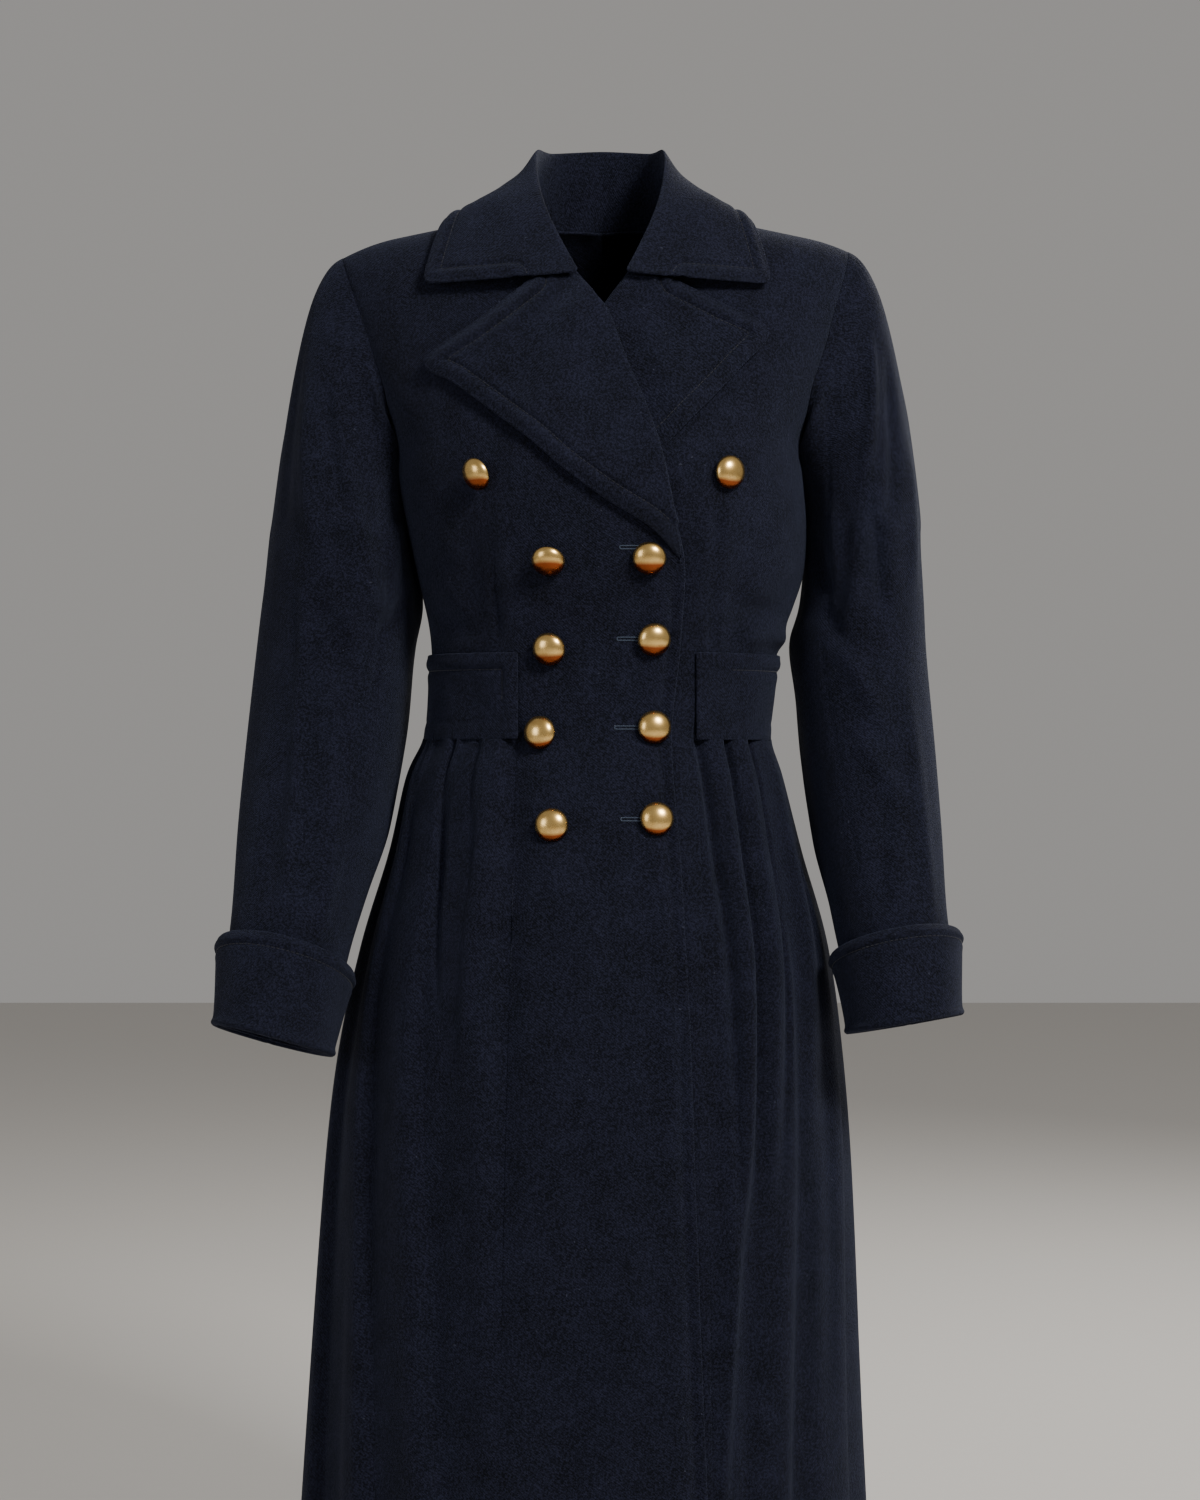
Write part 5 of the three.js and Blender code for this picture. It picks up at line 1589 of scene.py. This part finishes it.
# %% [markdown]
# ## The cuffs
#
# Each cuff is turned back: the sleeve's end goes round the rim and up outside, where its upper edge stands
# a little off the sleeve. It is made of two layers, so it is thicker and stiffer, and its rims are round.
# The topstitching runs 13 mm below the upper rim.

# %% Cuffs
CUFF_LENGTH = 92.0
CUFF_WALL = 4.5
CUFF_FLARE = 4.5
CUFF_ROWS = 47
CUFF_BULGE = 2.3
# The share of the cuff's length over which it flares, and the swell along its lower rim: its height, its
# distance from the rim and its width.
CUFF_FLARES = 0.9
CUFF_SWELL, CUFF_SWELL_AT, CUFF_SWELL_WIDTH = 1.3, 4, 5
CUFF_TOP = 1 - CUFF_LENGTH / LENGTH_MM
CUFF_CREASES = {
    "right": [
        (0.14, 0.3, 0.19, 0.9, 12, 1.2), (0.30, 0.2, 0.33, 0.9, 12, -1.2), (0.6, 0.2, 0.56, 0.9, 14, 1.2),
    ],
    "left": [
        (0.18, 0.2, 0.22, 0.9, 12, -1.1), (0.30, 0.3, 0.27, 0.9, 12, 1.2), (0.62, 0.2, 0.6, 0.9, 14, 1.1),
    ],
}


def make_cuff(side):
    """A cuff: rows from its upper rim down to the sleeve's end, wrapped round the sleeve's face."""
    v = np.linspace(0, 1, CUFF_ROWS)[:, None]
    turn = np.arange(SLEEVE_TURNS)[None, :] / SLEEVE_TURNS
    points = sleeve_point(side, turn, mix(CUFF_TOP, 1.0, v))
    rise = CUFF_FLARE * (1 - smooth(0, CUFF_FLARES, v))
    points = points + outward_normals(points, True) * (GAP + rise + CUFF_WALL)[..., None]
    down = v * CUFF_LENGTH
    from_rim = CUFF_LENGTH - down - CUFF_SWELL_AT
    rolled = rolled_rim(down) + CUFF_SWELL * np.exp(-((from_rim / CUFF_SWELL_WIDTH) ** 2))
    table = [(a, b * CUFF_LENGTH / LENGTH_MM, c, d * CUFF_LENGTH / LENGTH_MM, e, f)
             for a, b, c, d, e, f in CUFF_CREASES[side]]
    relief = rolled + groove(np.abs(down - STITCH_IN)) + around_creases(turn, down / LENGTH_MM, table)
    relief = relief + seam_line(turn, np.ones(v.shape), BACK_SEAM)
    bulge = np.full(points.shape[:2], CUFF_BULGE)
    field = np.broadcast_to(down - STITCH_IN, points.shape[:2])
    sewn = (field, np.ones(field.shape, bool))
    return cloth(f"cuff_{side}", points, relief, thick=CUFF_WALL, closed=True, bulge=bulge, sewn=sewn)


for side in SIDES:
    make_cuff(side)

# %% [markdown]
# ## The buttons
#
# Each is a high dome pressed from brass over a flat back, with a fine rolled rim. A lathe section turned
# round its axis gives the whole form. On the front they stand square to the cloth round them.

# %% Buttons
BUTTONS = [
    # name, across, level, then how far it has turned to the wearer's left and up, in degrees
    ("button_outer_right", -101, -220, -16, -18), ("button_outer_left", 104, -219, 6, -4),
    ("button_right_1", -43, -290, 0, -24), ("button_right_2", -43, -365, -6, -9),
    ("button_right_3", -50, -437, -13, -8), ("button_right_4", -41, -513, 0, -11),
    ("button_left_1", 38, -289, -8, -6), ("button_left_2", 42, -357, 3, -5),
    ("button_left_3", 42, -432, 0, -7), ("button_left_4", 44, -508, -4, -6),
]
BUTTON_RADIUS, BUTTON_DOME, BUTTON_RIM = 14.0, 9.0, 2.2
SMALL_RADIUS, SMALL_DOME, SMALL_RIM = 7.0, 4.5, 1.4
BUTTON_TURNS = 64
# A sleeve's button: its turn round the sleeve and its share of the way down.
SLEEVE_BUTTON = (0.9, 0.835)
# A tilted button is raised by this share of its radius times the sine of its tilt.
TILT_ROOM = 0.6


def button_section(radius, dome, rim):
    """Half the section of a button: a shallow back, a round edge, then the dome as the arc
    z = rim + dome * sqrt(1 - (r / radius)^2), which is a quarter of an ellipse."""
    under = np.linspace(0.5, 1.0, 6)
    back_r = radius * under
    back_z = rim * smooth(0.35, 1.0, under)
    lean = np.radians(np.linspace(0, 90, 27))
    dome_r = radius * np.cos(lean)
    dome_z = rim + dome * np.sin(lean)
    r = np.concatenate([[0], back_r, dome_r[1:]])
    z = np.concatenate([[0], back_z, dome_z[1:]])
    return np.stack([r, z], axis=-1)


def make_button(name, where, facing, sizes):
    """A lathe mesh, its section turned round the way that it faces and set on the cloth."""
    section = button_section(*sizes)
    turn = 2 * np.pi * np.arange(BUTTON_TURNS) / BUTTON_TURNS
    side = unit(np.cross(facing, [0.0, 0.0, 1.0]))
    up = np.cross(side, facing)
    spoke = np.cos(turn)[:, None] * side + np.sin(turn)[:, None] * up
    ring = section[1:-1, None, :1] * spoke[None] + section[1:-1, None, 1:] * facing
    vertices = np.concatenate([where + ring.reshape(-1, 3), [where + facing * section[0, 1]],
                               [where + facing * section[-1, 1]]])
    rows = len(section) - 2
    number = np.arange(rows * BUTTON_TURNS).reshape(rows, BUTTON_TURNS)
    after = np.roll(number, -1, axis=1)
    sides = np.stack([number[:-1], after[:-1], after[1:], number[1:]], axis=-1).reshape(-1, 4).tolist()
    back = [[len(vertices) - 2, int(b), int(a)] for a, b in zip(number[0], after[0])]
    top = [[len(vertices) - 1, int(a), int(b)] for a, b in zip(number[-1], after[-1])]
    mesh = bpy.data.meshes.new(name)
    mesh.from_pydata(vertices * MM, [], sides + back + top)
    piece = finish_mesh(name, mesh, BRASS)
    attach(piece, "root")
    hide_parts(name)
    return piece


for name, x, z, leftward, upward in BUTTONS:
    reach = BUTTON_RADIUS
    middle = on_front(np.array([x], float), np.array([z], float))[0]
    around = on_front(x + np.array([-reach, 0, reach, 0]), z + np.array([0, -reach, 0, reach]))
    facing = unit(np.cross(around[2] - around[0], around[3] - around[1]))
    highest = max(0.0, ((around - middle) @ facing).max())
    level = unit(np.cross([0.0, 0.0, 1.0], facing))
    tilt = np.radians([leftward, upward])
    hanging = unit(facing + level * np.tan(tilt[0]) + np.cross(facing, level) * np.tan(tilt[1]))
    raised = TILT_ROOM * BUTTON_RADIUS * np.sqrt(1 - (hanging @ facing) ** 2)
    seat = middle + facing * (highest + GAP + raised)
    make_button(name, seat, hanging, (BUTTON_RADIUS, BUTTON_DOME, BUTTON_RIM))

for side, sign in SIDES.items():
    step = 0.002
    turn, down = SLEEVE_BUTTON
    at = sleeve_point(side, np.array([turn, turn + step, turn]), np.array([down, down, down + step]))
    facing = unit(np.cross(at[1] - at[0], at[2] - at[0])) * sign
    make_button(f"button_sleeve_{side}", at[0] + facing * GAP, facing, (SMALL_RADIUS, SMALL_DOME, SMALL_RIM))
print("buttons:", len(BUTTONS) + 2)

# %% [markdown]
# ## Floor and light
#
# A plain pale floor lies below the hem. The key light stands high on the right, a wide weak one low on the
# left, and a third behind lights the rims. The world gives a warm grey fill.

# %% Light and floor
HEM_HEIGHT = -1.262
FLOOR_SIZE = 14.0


def make_floor():
    """A big plain square under the hem."""
    half = FLOOR_SIZE / 2
    corners = np.array([[-half, -half, 0], [half, -half, 0], [half, half, 0], [-half, half, 0]])
    mesh = bpy.data.meshes.new("floor")
    mesh.from_pydata(corners + np.array([0, 0, HEM_HEIGHT]), [], [[0, 1, 2, 3]])
    paint = Paint("floor_paper")
    where = paint.node("ShaderNodeTexCoord", output=3)
    grain = paint.noise(where, 90.0, 3.0, 0.6)
    colour = paint.blend(grain * 0.3, (0.62, 0.60, 0.57, 1), (0.56, 0.54, 0.51, 1))
    mesh.materials.append(paint.finish(Base_Color=colour, Roughness=0.85))
    floor = bpy.data.objects.new("floor", mesh)
    bpy.context.collection.objects.link(floor)
    return floor


def area_light(name, where, aim, size, power, colour):
    """A soft light at a place, turned to face a point."""
    light = bpy.data.lights.new(name, "AREA")
    light.shape = "RECTANGLE"
    light.size, light.size_y = size
    light.energy = power
    light.color = colour
    lamp = bpy.data.objects.new(name, light)
    lamp.location = where
    back = unit(np.array(where, float) - np.array(aim, float))
    right = unit(np.cross([0.0, 0.0, 1.0], back))
    yaw = np.arctan2(right[1], right[0])
    rise = np.arctan2(back[2], np.hypot(back[0], back[1]))
    lamp.rotation_euler = (np.pi / 2 - rise, 0, yaw)
    bpy.context.collection.objects.link(lamp)
    return lamp


make_floor()
area_light("key", (1.7, -2.4, 1.6), (0, 0, -0.5), (0.8, 0.8), 136.0, (1.0, 0.97, 0.93))
area_light("fill", (-2.4, -2.2, 0.1), (0, 0, -0.6), (1.2, 1.6), 20.0, (0.93, 0.95, 1.0))
area_light("rim", (1.4, 1.9, 1.2), (0, 0, -0.3), (1.2, 1.6), 50.0, (1.0, 0.98, 0.95))
world = bpy.data.worlds.new("studio")
world.use_nodes = True
world.node_tree.nodes["Background"].inputs["Color"].default_value = (0.62, 0.60, 0.58, 1)
world.node_tree.nodes["Background"].inputs["Strength"].default_value = 0.5
bpy.context.scene.world = world
